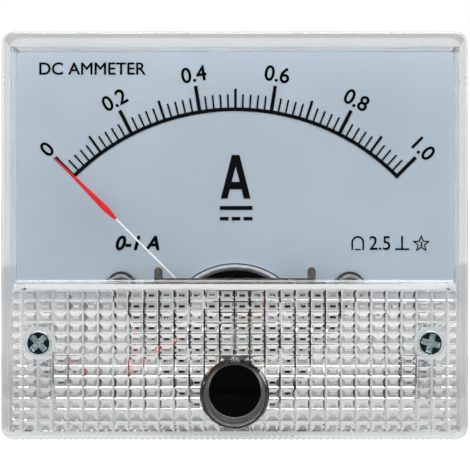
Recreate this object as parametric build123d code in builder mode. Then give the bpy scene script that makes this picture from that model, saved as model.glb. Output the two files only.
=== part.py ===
from build123d import *
import math
import os

# Face, flange and drum. Lengths are millimetres. The origin is on the drum's axis at the panel's
# face, the front looks along -Y, the drum runs along +Y and +Z is up.
FACE_WIDTH = 64.0
FACE_HEIGHT = 56.0
FACE_RISE = 2.0  # height of the face's centre above the drum's axis
FACE_CORNER = 1.8
FLANGE_THICK = 2.5
DRUM_RADIUS = 24.5
DRUM_WALL = 1.5
DRUM_DEPTH = 24.0
DRUM_EDGE = 1.2

# Clear front cover
COVER_DEPTH = 10.0
SIDE_WALL = 1.1
TOP_WALL = 2.0
PANE_THICK = 1.5
COVER_EDGE = 0.4
BLOCK_DROP = 6.5  # from the face's centre down to the top of the waffled block
BLOCK_STEP = 1.6
BLOCK_MARGIN = 1.0
BLOCK_FOOT = 0.8
BLOCK_CORNER = 1.1
BLOCK_EDGE = 0.1
BLOCK_WALL = 1.8
BLOCK_SIDE = 0.7
STEP_ROUND = 0.65  # hollow round between the window and the block

# Waffle: grooves across and along the inner face of the block's wall, a blunt V each
CELL_WIDTH = 2.067
CELL_HEIGHT = 1.488
CELL_COUNT = 28
ROW_COUNT = 13
ROW_MARGIN = 0.95
GROOVE_DEPTH = 0.48
GROOVE_HALF_WIDTH = 0.635
GROOVE_FLOOR_WIDTH = 0.2
GROOVE_HALF_HEIGHT = 0.575
GROOVE_FLOOR_HEIGHT = 0.1
RIB_PITCH = 0.818
RIB_COUNT = 73
RIB_DEPTH = 0.14

# Cover screws and their bosses
COVER_SCREW_X = 26.75
COVER_SCREW_DROP = 14.68
COVER_HEAD_RADIUS = 1.72
COVER_HEAD_HEIGHT = 1.1
COVER_HEAD_SUNK = 0.35
COVER_SCREW_RADIUS = 1.2
COVER_SCREW_LENGTH = 10.0
BOSS_RADIUS = 2.3
BOSS_SPLIT = 5.5  # height of the case's posts above the flange
SCREW_CLEARANCE = 0.15
CROSS_SPAN = 2.6
CROSS_WIDTH = 0.8
CROSS_DEPTH = 0.75
CROSS_TAPER = 12.0  # degrees
COVER_CROSS_TURNS = (45.0, 15.0)  # as the two screws were left when they were driven home
DIAL_CROSS_TURNS = (20.0, -35.0)

# Zero adjuster
WELL_DROP = 21.85
WELL_RADIUS = 4.4
WELL_FLOOR_RADIUS = 3.85
WELL_DEPTH = 3.7
WELL_FLOOR = 1.0
WELL_WALL = 0.6
ADJUSTER_DROP = 21.4
ADJUSTER_RADIUS = 3.6
ADJUSTER_THICK = 1.1
ADJUSTER_LIFT = 0.1
ADJUSTER_SHAFT = 1.5
SLOT_WIDTH = 0.9
SLOT_DEPTH = 0.6
RUNNING_CLEARANCE = 0.06
CLIP_RADIUS = 2.3
CLIP_THICK = 0.3
CRANK_OFFSET = 0.8
CRANK_RADIUS = 0.4
CRANK_PLAY = 0.15

# Dial, its plate and screws
DIAL_THICK = 0.5
DIAL_GAP = 0.1
DIAL_DROP = 9.4
DIAL_CORNER = 0.6
DIAL_CUT_RADIUS = 10.5
DIAL_SCREW_X = 16.1
DIAL_SCREW_DROP = 7.1
DIAL_HEAD_RADIUS = 2.1
DIAL_HEAD_HEIGHT = 1.2
DIAL_SCREW_RADIUS = 1.0
DIAL_SCREW_LENGTH = 6.0
POST_RADIUS = 2.4
POST_STAND = 0.6
WEB_THICK = 1.4

# Printed scale
SCALE_RADIUS = 31.94
SCALE_BAND = 0.5
SCALE_INK = 0.05
SCALE_SWEEP = 90.0
DIVISIONS = 50
LONG_EVERY = 10
MIDDLE_EVERY = 5
LONG_TICK = 3.98
MIDDLE_TICK = 3.15
SHORT_TICK = 2.37
LONG_TICK_WIDTH = 0.47
MIDDLE_TICK_WIDTH = 0.31
SHORT_TICK_WIDTH = 0.21

# Movement
PIVOT_DROP = 14.35
CHASSIS_THICK = 1.0
CHASSIS_RIM = 0.9
RING_RADIUS = 10.35
RING_BORE = 8.0
RING_LENGTH = 10.8
RING_STAND = 1.5
RING_RIM = 0.8
RING_EDGE = 0.5
RING_COUNTERBORE_DEPTH = 1.6
CORE_RADIUS = 6.0
CORE_LENGTH = 8.0
CORE_SUNK = 0.9
COIL_GAP = 0.5
FORMER_THICK = 0.25
FORMER_SIDE_GAP = 0.35
FORMER_WIDTH = 3.4
WINDING_THICK = 0.75
WINDING_WIDTH = 2.8
SPACER_ANGLE = 17.0
STAFF_RADIUS = 0.45
STAFF_TIP_RADIUS = 0.12
STAFF_LENGTH = 2.7
TIP_LENGTH = 0.8

# Bridges, jewels and stops
BRIDGE_THICK = 0.8
BRIDGE_LIFT = 4.1  # from the chassis front to the front bridge
PILLAR_X = 12.6
PILLAR_RADIUS = 1.3
BRIDGE_HUB = 2.0
BAR_HALF_WIDTH = 11.2
BAR_RISE = 8.45  # from the pivot up to the top of the stop bar
BAR_HEIGHT = 2.4
ARM_WIDTH = 2.6
LUG_WIDTH = 1.15
LUG_RISE = 1.6
STOP_RISE = 9.4
STOP_RADIUS = 0.35
STOP_REACH = 2.3
REAR_BRIDGE_THICK = 1.0
REAR_BRIDGE_GAP = 3.2  # from the ring's back to the rear bridge
BRIDGE_SCREW_HEAD = 1.25
BRIDGE_SCREW_HEIGHT = 0.9
BRIDGE_SCREW_RADIUS = 0.6
BRIDGE_SCREW_LENGTH = 3.0
FRONT_SLOT_TURN = 30.0
REAR_SLOT_TURN = -20.0
JEWEL_RADIUS = 0.8
JEWEL_OUTSIDE = 1.4
JEWEL_CUP_RADIUS = 0.4
JEWEL_CUP_DEPTH = 0.5
NUT_RADIUS = 1.8
NUT_THICK = 0.6

# Pointer and balance
POINTER_LIFT = 2.0  # from the dial's face to the pointer's axis
POINTER_TUBE_RADIUS = 0.14
POINTER_LENGTH = 35.6
BLADE_START = 23.6
BLADE_WIDTH = 0.88
BLADE_WIDEST = 2.0
BLADE_NECK = 0.4
BLADE_TIP = 0.12
BLADE_THICK = 0.16
HUB_RADIUS = 1.0
HUB_THICK = 0.7
TAIL_LENGTH = 5.6
CROSS_ARM_LENGTH = 4.4
BALANCE_ROD_RADIUS = 0.15
TAIL_WEIGHT_RADIUS = 0.85
TAIL_WEIGHT_LENGTH = 1.3  # this weight balances the pointer about the pivot
CROSS_WEIGHT_RADIUS = 0.5
CROSS_WEIGHT_LENGTH = 1.2

# Hairsprings, the lever that holds the front one and the fixed tag of the rear one
SPRING_START = 0.75
SPRING_PITCH = 0.6
SPRING_TURNS = 4
SPRING_STRIP = 0.12
SPRING_HEIGHT = 0.3
SPRING_LIFT = 0.4
COLLET_RADIUS = 0.8
LEVER_THICK = 0.3
LEVER_GAP = 0.1
LEVER_HUB = 1.7
LEVER_ARM_WIDTH = 1.3
FORK_WIDTH = 2.4
FORK_TAIL = 1.1
TAG_GAP = 0.3
TAG_THICK = 0.35
TAG_WIDTH = 1.0

# Terminals, shunt and mounting studs
TERMINAL_X = 12.5
TERMINAL_RISE = 4.0
TERMINAL_RADIUS = 2.0
TERMINAL_OUTSIDE = 13.0
TERMINAL_HEX = 7.0
TERMINAL_HEAD = 2.8
TERMINAL_NUT = 3.2
TERMINAL_CHAMFER = 0.4
TERMINAL_BOSS_RADIUS = 4.6
TERMINAL_BOSS = 1.0
WASHER_RADIUS = 4.5
WASHER_THICK = 0.8
LOCK_WASHER_RADIUS = 3.6
LOCK_WASHER_THICK = 1.0
SHUNT_THICK = 0.8
SHUNT_WIDTH = 5.0
SHUNT_BOW = 3.0
SHUNT_END_RADIUS = 4.0
TAG_RING_THICK = 0.5
TAG_RING_RADIUS = 3.6
TAG_TAIL_WIDTH = 2.2
TAG_TAIL_LENGTH = 6.5
STUD_X = 25.0
STUD_DROP = 19.0
STUD_RADIUS = 1.5
STUD_LENGTH = 12.0
STUD_HEAD_RADIUS = 2.4
STUD_HEAD = 1.2
STUD_COVER = 0.6
STUD_NECK_RADIUS = 1.9

# Snap pips on the cover's side walls, and the insulated leads
PIP_RISE = 21.5
PIP_SET_BACK = 3.5
PIP_RADIUS = 0.55
PIP_HEIGHT = 0.35
PIP_DIMPLE = 0.15
LEAD_RADIUS = 0.45
LEAD_GAP = 0.05

CUT_OVER = 1.0  # how far every cut runs past the face that it opens

flange_front = -FLANGE_THICK
pane_front = flange_front - COVER_DEPTH
pane_back = pane_front + PANE_THICK
block_front = pane_front - BLOCK_STEP
block_back = block_front + BLOCK_WALL
post_front = flange_front - POST_STAND
chassis_front = post_front - CHASSIS_THICK
dial_front = chassis_front - DIAL_THICK
drum_floor = DRUM_DEPTH - DRUM_WALL
drum_bore = DRUM_RADIUS - DRUM_WALL

face_top = FACE_RISE + FACE_HEIGHT / 2
face_bottom = FACE_RISE - FACE_HEIGHT / 2
inner_half_width = FACE_WIDTH / 2 - SIDE_WALL
inner_top = face_top - TOP_WALL
inner_bottom = face_bottom + SIDE_WALL
block_top = FACE_RISE - BLOCK_DROP
block_bottom = face_bottom + BLOCK_FOOT
block_half_width = FACE_WIDTH / 2 - BLOCK_MARGIN

pivot_z = FACE_RISE - PIVOT_DROP
adjuster_z = FACE_RISE - ADJUSTER_DROP
cover_screw_z = FACE_RISE - COVER_SCREW_DROP
dial_screw_z = FACE_RISE - DIAL_SCREW_DROP
cover_screw_places = [(side * COVER_SCREW_X, cover_screw_z) for side in (-1, 1)]
dial_screw_places = [(side * DIAL_SCREW_X, dial_screw_z) for side in (-1, 1)]
pillar_places = [(side * PILLAR_X, pivot_z) for side in (-1, 1)]
terminal_places = [(side * TERMINAL_X, TERMINAL_RISE) for side in (-1, 1)]
stud_places = [(side * STUD_X, FACE_RISE - STUD_DROP) for side in (-1, 1)]


def facing(level, x=0, z=0, turn=0):
    """A plane across the depth axis, seen from the front, turned clockwise by turn degrees."""
    angle = math.radians(turn)
    return Plane((x, level, z), x_dir=(math.cos(angle), 0, -math.sin(angle)), z_dir=(0, -1, 0))


def across(back, front, outline, mode=Mode.ADD):
    """Extrudes a sketch that lies on a facing plane at back, forward to front."""
    extrude(outline.sketch, amount=back - front, mode=mode)


def rounds(radius, back, front, places=((0, 0),), mode=Mode.ADD):
    """Round lengths along the depth axis at the (x, z) places."""
    with BuildSketch(facing(back)) as ends:
        with Locations(*places):
            Circle(radius)
    across(back, front, ends, mode)


def block_between(low_x, high_x, low_z, high_z, back, front, mode=Mode.ADD):
    """A straight block between two levels."""
    middle = ((low_x + high_x) / 2, (low_z + high_z) / 2)
    with BuildSketch(facing(back)) as outline:
        with Locations(middle):
            Rectangle(high_x - low_x, high_z - low_z)
    across(back, front, outline, mode)


def keep(piece, name):
    """Labels a finished piece and writes it."""
    piece.part.label = name
    export_step(piece.part, f"parts/{name}.step")


os.makedirs("parts", exist_ok=True)

# Rear case: flange, drum, posts and bosses in one clear moulding
lip_gap = SCREW_CLEARANCE
lip_height = POST_STAND + CHASSIS_THICK / 2
lip_width = 2 * (inner_half_width - lip_gap)
lip_span = inner_top - inner_bottom - 2 * lip_gap
lip_middle = (inner_top + inner_bottom) / 2
case_post_top = flange_front - BOSS_SPLIT
screw_tip = block_front + COVER_HEAD_SUNK + COVER_HEAD_HEIGHT + COVER_SCREW_LENGTH
post_angle = math.degrees(math.atan2(dial_screw_z, DIAL_SCREW_X))
post_reach = math.hypot(DIAL_SCREW_X, dial_screw_z)
web_length = drum_bore + DRUM_WALL / 2 - post_reach

with BuildPart() as rear_case:
    with BuildSketch(facing(0)):
        with Locations((0, FACE_RISE)):
            RectangleRounded(FACE_WIDTH, FACE_HEIGHT, FACE_CORNER)
    extrude(amount=FLANGE_THICK)
    rounds(DRUM_RADIUS, DRUM_DEPTH, 0)
    drum_rim = rear_case.edges().filter_by(GeomType.CIRCLE).sort_by(Axis.Y)[-1]
    fillet(drum_rim, DRUM_EDGE)
    with BuildSketch(facing(flange_front)):
        with Locations((0, lip_middle)):
            Rectangle(lip_width, lip_span)
            Rectangle(lip_width - 2 * SIDE_WALL, lip_span - 2 * SIDE_WALL, mode=Mode.SUBTRACT)
    extrude(amount=lip_height)
    rounds(drum_bore, drum_floor, flange_front - CUT_OVER, mode=Mode.SUBTRACT)
    rounds(POST_RADIUS, drum_floor, post_front, dial_screw_places)
    for side in (-1, 1):
        with BuildSketch(facing(drum_floor)) as web:
            with Locations((side * (DIAL_SCREW_X + web_length / 2 * math.cos(math.radians(post_angle))),
                            dial_screw_z + web_length / 2 * math.sin(math.radians(post_angle)))):
                Rectangle(web_length, WEB_THICK, rotation=side * post_angle)
        across(drum_floor, 0, web)
    rounds(BOSS_RADIUS, 0, case_post_top, cover_screw_places)
    rounds(TERMINAL_BOSS_RADIUS, drum_floor, drum_floor - TERMINAL_BOSS, terminal_places)
    rounds(TERMINAL_RADIUS + SCREW_CLEARANCE / 2, DRUM_DEPTH + CUT_OVER,
           drum_floor - TERMINAL_BOSS - CUT_OVER, terminal_places, Mode.SUBTRACT)
    rounds(COVER_SCREW_RADIUS, screw_tip, case_post_top - CUT_OVER, cover_screw_places, Mode.SUBTRACT)
    rounds(DIAL_SCREW_RADIUS, dial_front + DIAL_SCREW_LENGTH, post_front - CUT_OVER,
           dial_screw_places, Mode.SUBTRACT)
    rounds(STUD_NECK_RADIUS, CUT_OVER, -STUD_COVER, stud_places, Mode.SUBTRACT)
    rounds(STUD_HEAD_RADIUS, -STUD_COVER, -STUD_COVER - STUD_HEAD, stud_places, Mode.SUBTRACT)
keep(rear_case, "rear_case")

# Front cover: one clear moulding with a window, a raised block with a waffle behind its face, and the well
first_row = block_top - ROW_MARGIN
field_half_width = block_half_width - BLOCK_SIDE
cove_half_width = block_half_width - BLOCK_CORNER
well_floor = block_front + WELL_DEPTH
well_back = well_floor + WELL_FLOOR
head_seat = block_front + COVER_HEAD_SUNK + COVER_HEAD_HEIGHT
column_shifts = [(index - CELL_COUNT / 2) * CELL_WIDTH for index in range(CELL_COUNT + 1)]
row_heights = [first_row - index * CELL_HEIGHT for index in range(ROW_COUNT + 1)]
field_bottom = row_heights[-1]
rib_shifts = [(index - (RIB_COUNT - 1) / 2) * RIB_PITCH for index in range(RIB_COUNT)]


def groove(low, high, floor, length, plane, spots):
    """Blunt V grooves in the block's inner face, from low to high of spots on plane and cut along length."""
    with BuildSketch(plane) as veins:
        with Locations(*spots):
            Polygon((low, 0), (high, 0), (min(high, floor / 2), GROOVE_DEPTH),
                    (max(low, -floor / 2), GROOVE_DEPTH),
                    align=None)
    extrude(veins.sketch, amount=length, mode=Mode.SUBTRACT)


with BuildPart() as front_cover:
    with BuildSketch(facing(flange_front)):
        with Locations((0, FACE_RISE)):
            RectangleRounded(FACE_WIDTH, FACE_HEIGHT, FACE_CORNER)
    extrude(amount=COVER_DEPTH)
    fillet(front_cover.faces().sort_by(Axis.Y)[0].edges(), COVER_EDGE)
    block_between(-block_half_width, block_half_width, block_bottom, block_top, pane_front + COVER_EDGE,
                  block_front)
    block_sides = front_cover.edges().filter_by(Axis.Y).filter_by_position(Axis.Z, block_top, block_top)
    fillet(block_sides, BLOCK_CORNER)
    with BuildSketch(Plane.YZ.offset(-FACE_WIDTH / 2)) as brow:
        Polygon((block_front, block_top - BLOCK_EDGE), (block_front + BLOCK_EDGE, block_top),
                (block_front + BLOCK_EDGE, block_top + CUT_OVER), (block_front - CUT_OVER, block_top + CUT_OVER),
                (block_front - CUT_OVER, block_top - BLOCK_EDGE), align=None)
    extrude(brow.sketch, amount=FACE_WIDTH, mode=Mode.SUBTRACT)
    with BuildSketch(Plane.YZ.offset(-cove_half_width)) as cove:
        with BuildLine():
            Polyline((pane_front - STEP_ROUND, block_top), (pane_front, block_top),
                     (pane_front, block_top + STEP_ROUND))
            RadiusArc((pane_front, block_top + STEP_ROUND), (pane_front - STEP_ROUND, block_top), STEP_ROUND)
        make_face()
    extrude(cove.sketch, amount=2 * cove_half_width)
    block_between(-inner_half_width, inner_half_width, inner_bottom, inner_top,
                  flange_front + CUT_OVER, pane_back, Mode.SUBTRACT)
    block_between(-field_half_width, field_half_width, field_bottom, first_row,
                  pane_back, block_back, Mode.SUBTRACT)
    with BuildSketch(Plane.YZ.offset(-field_half_width)) as slant:
        Polygon((pane_back, block_top), (pane_back, first_row), (pane_back - ROW_MARGIN, first_row),
                align=None)
    extrude(slant.sketch, amount=2 * field_half_width, mode=Mode.SUBTRACT)
    groove(-GROOVE_HALF_WIDTH, GROOVE_HALF_WIDTH, GROOVE_FLOOR_WIDTH, first_row - field_bottom,
           Plane((0, block_back, first_row), x_dir=(1, 0, 0), z_dir=(0, 0, -1)),
           [(shift, 0) for shift in column_shifts])
    row_plane = Plane((field_half_width, block_back, 0), x_dir=(0, 0, -1), z_dir=(-1, 0, 0))
    row_length = 2 * field_half_width
    groove(-GROOVE_HALF_HEIGHT, GROOVE_HALF_HEIGHT, GROOVE_FLOOR_HEIGHT, row_length, row_plane,
           [(-height, 0) for height in row_heights[1:-1]])
    groove(0, GROOVE_HALF_HEIGHT, GROOVE_FLOOR_HEIGHT, row_length, row_plane, [(-first_row, 0)])
    groove(-GROOVE_HALF_HEIGHT, 0, GROOVE_FLOOR_HEIGHT, row_length, row_plane, [(-field_bottom, 0)])
    rounds(BOSS_RADIUS, case_post_top, block_back - GROOVE_DEPTH, cover_screw_places)
    rounds(COVER_HEAD_RADIUS + SCREW_CLEARANCE, head_seat, block_front - CUT_OVER, cover_screw_places,
           Mode.SUBTRACT)
    rounds(COVER_SCREW_RADIUS + SCREW_CLEARANCE, case_post_top + CUT_OVER, head_seat - CUT_OVER,
           cover_screw_places, Mode.SUBTRACT)
    rounds(WELL_FLOOR_RADIUS + WELL_WALL, well_back, well_floor, [(0, adjuster_z)])
    for wall, mode in ((WELL_WALL, Mode.ADD), (0, Mode.SUBTRACT)):
        with BuildSketch(facing(well_floor)) as well_foot:
            with Locations((0, adjuster_z)):
                Circle(WELL_FLOOR_RADIUS + wall)
        with BuildSketch(facing(block_front)) as well_mouth:
            with Locations((0, FACE_RISE - WELL_DROP)):
                Circle(WELL_RADIUS + wall)
        loft([well_foot.sketch.face(), well_mouth.sketch.face()], mode=mode)
    rounds(ADJUSTER_SHAFT + RUNNING_CLEARANCE, well_back + CUT_OVER, well_floor - CUT_OVER,
           [(0, adjuster_z)], Mode.SUBTRACT)
    with BuildSketch(Plane.XZ.offset(-flange_front)) as ribs:
        with Locations(*[(shift, face_bottom) for shift in rib_shifts]):
            Polygon((-RIB_PITCH / 2, 0), (RIB_PITCH / 2, 0), (0, RIB_DEPTH), align=None)
    extrude(ribs.sketch, amount=COVER_DEPTH + CUT_OVER, mode=Mode.SUBTRACT)
    for side in (-1, 1):
        wall_face = side * inner_half_width
        pip_plane = Plane((wall_face, pane_back + PIP_SET_BACK, FACE_RISE + PIP_RISE), z_dir=(-side, 0, 0))
        with BuildSketch(pip_plane) as pip:
            Circle(PIP_RADIUS)
        extrude(pip.sketch, amount=PIP_HEIGHT)
        with BuildSketch(pip_plane.offset(-SIDE_WALL)) as dimple:
            Circle(PIP_RADIUS)
        extrude(dimple.sketch, amount=PIP_DIMPLE, mode=Mode.SUBTRACT)
keep(front_cover, "front_cover")

# Cover screws: pan heads with a cross recess
with BuildPart() as cover_screws:
    rounds(COVER_HEAD_RADIUS, head_seat, head_seat - COVER_HEAD_HEIGHT, cover_screw_places)
    fillet(cover_screws.edges().filter_by(GeomType.CIRCLE).group_by(Axis.Y)[0], COVER_HEAD_HEIGHT / 3)
    rounds(COVER_SCREW_RADIUS, screw_tip, head_seat, cover_screw_places)
    for (x, z), turn in zip(cover_screw_places, COVER_CROSS_TURNS):
        with BuildSketch(facing(head_seat - COVER_HEAD_HEIGHT, x, z, turn)) as cross:
            Rectangle(CROSS_SPAN, CROSS_WIDTH)
            Rectangle(CROSS_WIDTH, CROSS_SPAN)
        extrude(cross.sketch, amount=-CROSS_DEPTH, taper=CROSS_TAPER, mode=Mode.SUBTRACT)
keep(cover_screws, "cover_screws")

# Dial: a printed plate with a round notch for the movement
dial_half_width = inner_half_width - DIAL_GAP
dial_top = inner_top - DIAL_GAP
dial_bottom = FACE_RISE - DIAL_DROP
with BuildPart() as dial_plate:
    with BuildSketch(facing(chassis_front)):
        with Locations((0, (dial_top + dial_bottom) / 2)):
            RectangleRounded(2 * dial_half_width, dial_top - dial_bottom, DIAL_CORNER)
        with Locations((0, pivot_z)):
            Circle(DIAL_CUT_RADIUS, mode=Mode.SUBTRACT)
        with Locations(*dial_screw_places):
            Circle(DIAL_SCREW_RADIUS + SCREW_CLEARANCE, mode=Mode.SUBTRACT)
    extrude(amount=DIAL_THICK)
keep(dial_plate, "dial_plate")

# Scale: an arc of ink with its division marks, in one film
with BuildPart() as scale_marks:
    with BuildSketch(facing(dial_front, 0, pivot_z)):
        with BuildLine():
            outer = CenterArc((0, 0), SCALE_RADIUS + SCALE_BAND, 90 - SCALE_SWEEP / 2, SCALE_SWEEP)
            inner = CenterArc((0, 0), SCALE_RADIUS, 90 - SCALE_SWEEP / 2, SCALE_SWEEP)
            Line(outer @ 0, inner @ 0)
            Line(outer @ 1, inner @ 1)
        make_face()
        for index in range(DIVISIONS + 1):
            reach, width = SHORT_TICK, SHORT_TICK_WIDTH
            if index % MIDDLE_EVERY == 0:
                reach, width = MIDDLE_TICK, MIDDLE_TICK_WIDTH
            if index % LONG_EVERY == 0:
                reach, width = LONG_TICK, LONG_TICK_WIDTH
            swing = SCALE_SWEEP * (index / DIVISIONS - 1 / 2)
            with PolarLocations(SCALE_RADIUS + reach / 2, 1, 90 - swing):
                Rectangle(reach, width)
    extrude(amount=SCALE_INK)
keep(scale_marks, "scale_marks")

# Dial screws: domed heads that clamp the dial and the chassis on the posts
with BuildPart() as dial_screws:
    rounds(DIAL_HEAD_RADIUS, dial_front, dial_front - DIAL_HEAD_HEIGHT, dial_screw_places)
    fillet(dial_screws.edges().filter_by(GeomType.CIRCLE).group_by(Axis.Y)[0], DIAL_HEAD_HEIGHT * 3 / 4)
    rounds(DIAL_SCREW_RADIUS, dial_front + DIAL_SCREW_LENGTH, dial_front, dial_screw_places)
    for (x, z), turn in zip(dial_screw_places, DIAL_CROSS_TURNS):
        with BuildSketch(facing(dial_front - DIAL_HEAD_HEIGHT, x, z, turn)) as cross:
            Rectangle(DIAL_HEAD_RADIUS, CROSS_WIDTH)
            Rectangle(CROSS_WIDTH, DIAL_HEAD_RADIUS)
        extrude(cross.sketch, amount=-CROSS_DEPTH, taper=CROSS_TAPER, mode=Mode.SUBTRACT)
keep(dial_screws, "dial_screws")

# Chassis: a plate between the posts that holds the iron ring
with BuildPart() as chassis_plate:
    with BuildSketch(facing(post_front)):
        with Locations((0, pivot_z)):
            Circle(RING_RADIUS + CHASSIS_RIM)
        with Locations(*pillar_places):
            Circle(PILLAR_RADIUS)
        with BuildLine():
            Polyline((-DIAL_SCREW_X, dial_screw_z + POST_RADIUS), (DIAL_SCREW_X, dial_screw_z + POST_RADIUS),
                     (DIAL_SCREW_X, dial_screw_z - POST_RADIUS), (PILLAR_X, pivot_z - PILLAR_RADIUS),
                     (-PILLAR_X, pivot_z - PILLAR_RADIUS), (-DIAL_SCREW_X, dial_screw_z - POST_RADIUS),
                     close=True)
        make_face()
        with Locations(*dial_screw_places):
            Circle(POST_RADIUS)
            Circle(DIAL_SCREW_RADIUS + SCREW_CLEARANCE, mode=Mode.SUBTRACT)
        with Locations((0, pivot_z)):
            Circle(RING_RADIUS, mode=Mode.SUBTRACT)
        with Locations(*pillar_places):
            Circle(BRIDGE_SCREW_RADIUS, mode=Mode.SUBTRACT)
    extrude(amount=CHASSIS_THICK)
keep(chassis_plate, "chassis_plate")

# Iron ring, the round magnet inside it and the two spacers that centre the magnet
ring_front = chassis_front - RING_STAND
ring_back = ring_front + RING_LENGTH
core_front = chassis_front + CORE_SUNK
core_back = core_front + CORE_LENGTH
pivot_place = [(0, pivot_z)]
with BuildPart() as yoke_ring:
    rounds(RING_RADIUS, ring_back, ring_front, pivot_place)
    rounds(RING_BORE, ring_back + CUT_OVER, ring_front - CUT_OVER, pivot_place, Mode.SUBTRACT)
    rounds(RING_RADIUS - RING_RIM, ring_front + RING_COUNTERBORE_DEPTH, ring_front - CUT_OVER,
           pivot_place, Mode.SUBTRACT)
    ring_circles = yoke_ring.edges().filter_by(GeomType.CIRCLE)
    ring_edges = ring_circles.filter_by_position(Axis.Y, ring_front, ring_front)
    fillet(ring_edges.sort_by(SortBy.RADIUS)[-1], RING_EDGE)
keep(yoke_ring, "yoke_ring")

with BuildPart() as core_magnet:
    rounds(CORE_RADIUS, core_back, core_front, pivot_place)
    chamfer(core_magnet.edges().filter_by(GeomType.CIRCLE), COIL_GAP)
keep(core_magnet, "core_magnet")

with BuildPart() as core_spacers:
    with BuildSketch(facing(core_back, 0, pivot_z)):
        for middle in (90, -90):
            with BuildLine():
                outer = CenterArc((0, 0), RING_BORE, middle - SPACER_ANGLE, 2 * SPACER_ANGLE)
                inner = CenterArc((0, 0), CORE_RADIUS, middle - SPACER_ANGLE, 2 * SPACER_ANGLE)
                Line(outer @ 0, inner @ 0)
                Line(outer @ 1, inner @ 1)
            make_face()
    extrude(amount=CORE_LENGTH)
keep(core_spacers, "core_spacers")

# Moving coil: a wire coil on a metal former that turns round the magnet
former_front = core_front - COIL_GAP - FORMER_THICK
former_back = core_back + COIL_GAP + FORMER_THICK
former_half = CORE_RADIUS + FORMER_SIDE_GAP + FORMER_THICK
rest_turn = -SCALE_SWEEP / 2
coil_plane = Plane((0, (former_front + former_back) / 2, pivot_z),
                   x_dir=(math.cos(math.radians(rest_turn)), 0, -math.sin(math.radians(rest_turn))),
                   z_dir=(-math.sin(math.radians(-rest_turn)), 0, math.cos(math.radians(rest_turn))))


def coil_frame(half_width, depth, thickness, width):
    """A rounded loop round the magnet, drawn across the pointer's direction."""
    with BuildSketch(coil_plane) as loop:
        RectangleRounded(2 * half_width, depth, 2 * thickness)
        Rectangle(2 * (half_width - thickness), depth - 2 * thickness, mode=Mode.SUBTRACT)
    extrude(loop.sketch, amount=width / 2, both=True)


former_depth = former_back - former_front
with BuildPart() as coil_former:
    coil_frame(former_half, former_depth, FORMER_THICK, FORMER_WIDTH)
keep(coil_former, "coil_former")

with BuildPart() as coil_winding:
    with BuildSketch(coil_plane) as turns:
        RectangleRounded(2 * (former_half + WINDING_THICK), former_depth + 2 * WINDING_THICK, WINDING_THICK)
        RectangleRounded(2 * former_half, former_depth, 2 * FORMER_THICK, mode=Mode.SUBTRACT)
    extrude(turns.sketch, amount=WINDING_WIDTH / 2, both=True)
keep(coil_winding, "coil_winding")

# Staffs: turned half axles on the ends of the coil, with points that run in the jewels
winding_front = former_front - WINDING_THICK
winding_back = former_back + WINDING_THICK
front_shoulder = winding_front - STAFF_LENGTH
rear_shoulder = winding_back + STAFF_LENGTH - TIP_LENGTH


def staff(seat, shoulder, tip):
    """A staff from its seat on the coil to its shoulder, with a cone to the tip."""
    low, high = min(seat, shoulder), max(seat, shoulder)
    rounds(COLLET_RADIUS, seat + abs(shoulder - seat) / 6 if tip > seat else seat,
           seat if tip > seat else seat - abs(shoulder - seat) / 6, pivot_place)
    rounds(STAFF_RADIUS, high, low, pivot_place)
    with BuildSketch(facing(shoulder, 0, pivot_z)) as thick_end:
        Circle(STAFF_RADIUS)
    with BuildSketch(facing(tip, 0, pivot_z)) as thin_end:
        Circle(STAFF_TIP_RADIUS)
    loft([thick_end.sketch.face(), thin_end.sketch.face()])


with BuildPart() as front_staff:
    staff(winding_front, front_shoulder, front_shoulder - TIP_LENGTH)
keep(front_staff, "front_staff")

with BuildPart() as rear_staff:
    staff(winding_back, rear_shoulder, rear_shoulder + TIP_LENGTH)
keep(rear_staff, "rear_staff")

# Pointer: a fine tube from the hub with a tapered blade at its end, and the balance arms
pointer_level = dial_front - POINTER_LIFT
hub_place = facing(pointer_level, 0, pivot_z, rest_turn)
with BuildPart() as pointer_hub:
    rounds(HUB_RADIUS, pointer_level + HUB_THICK / 2, pointer_level - HUB_THICK / 2, pivot_place)
    rounds(STAFF_RADIUS, pointer_level + HUB_THICK, pointer_level - HUB_THICK, pivot_place, Mode.SUBTRACT)
keep(pointer_hub, "pointer_hub")


def rod(radius, start, end, direction):
    """A round rod that leaves the pivot at direction, clockwise from the pointer."""
    turn = math.radians(rest_turn + direction)
    heading = Vector(math.sin(turn), 0, math.cos(turn))
    foot = Vector(0, pointer_level, pivot_z) + heading * start
    with BuildSketch(Plane(foot, z_dir=heading)) as section:
        Circle(radius)
    extrude(section.sketch, amount=end - start)


with BuildPart() as pointer_tube:
    rod(POINTER_TUBE_RADIUS, HUB_RADIUS, BLADE_START + BLADE_WIDEST, 0)
    with BuildSketch(facing(pointer_level, 0, pivot_z, rest_turn)) as seat:
        with Locations((0, BLADE_START + BLADE_WIDEST / 2)):
            Rectangle(BLADE_WIDTH, BLADE_WIDEST)
    extrude(seat.sketch, amount=POINTER_TUBE_RADIUS, mode=Mode.SUBTRACT)
keep(pointer_tube, "pointer_tube")

with BuildPart() as pointer_blade:
    with BuildSketch(hub_place):
        with BuildLine():
            half = BLADE_WIDTH / 2
            Polyline((-BLADE_NECK / 2, BLADE_START), (-half, BLADE_START + BLADE_WIDEST),
                     (-BLADE_TIP / 2, POINTER_LENGTH), (BLADE_TIP / 2, POINTER_LENGTH),
                     (half, BLADE_START + BLADE_WIDEST), (BLADE_NECK / 2, BLADE_START), close=True)
        make_face()
    extrude(amount=BLADE_THICK)
keep(pointer_blade, "pointer_blade")

with BuildPart() as balance_arms:
    rod(BALANCE_ROD_RADIUS, HUB_RADIUS, TAIL_LENGTH, 180)
    rod(BALANCE_ROD_RADIUS, HUB_RADIUS, CROSS_ARM_LENGTH, 90)
    rod(BALANCE_ROD_RADIUS, HUB_RADIUS, CROSS_ARM_LENGTH, -90)
keep(balance_arms, "balance_arms")

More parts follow.
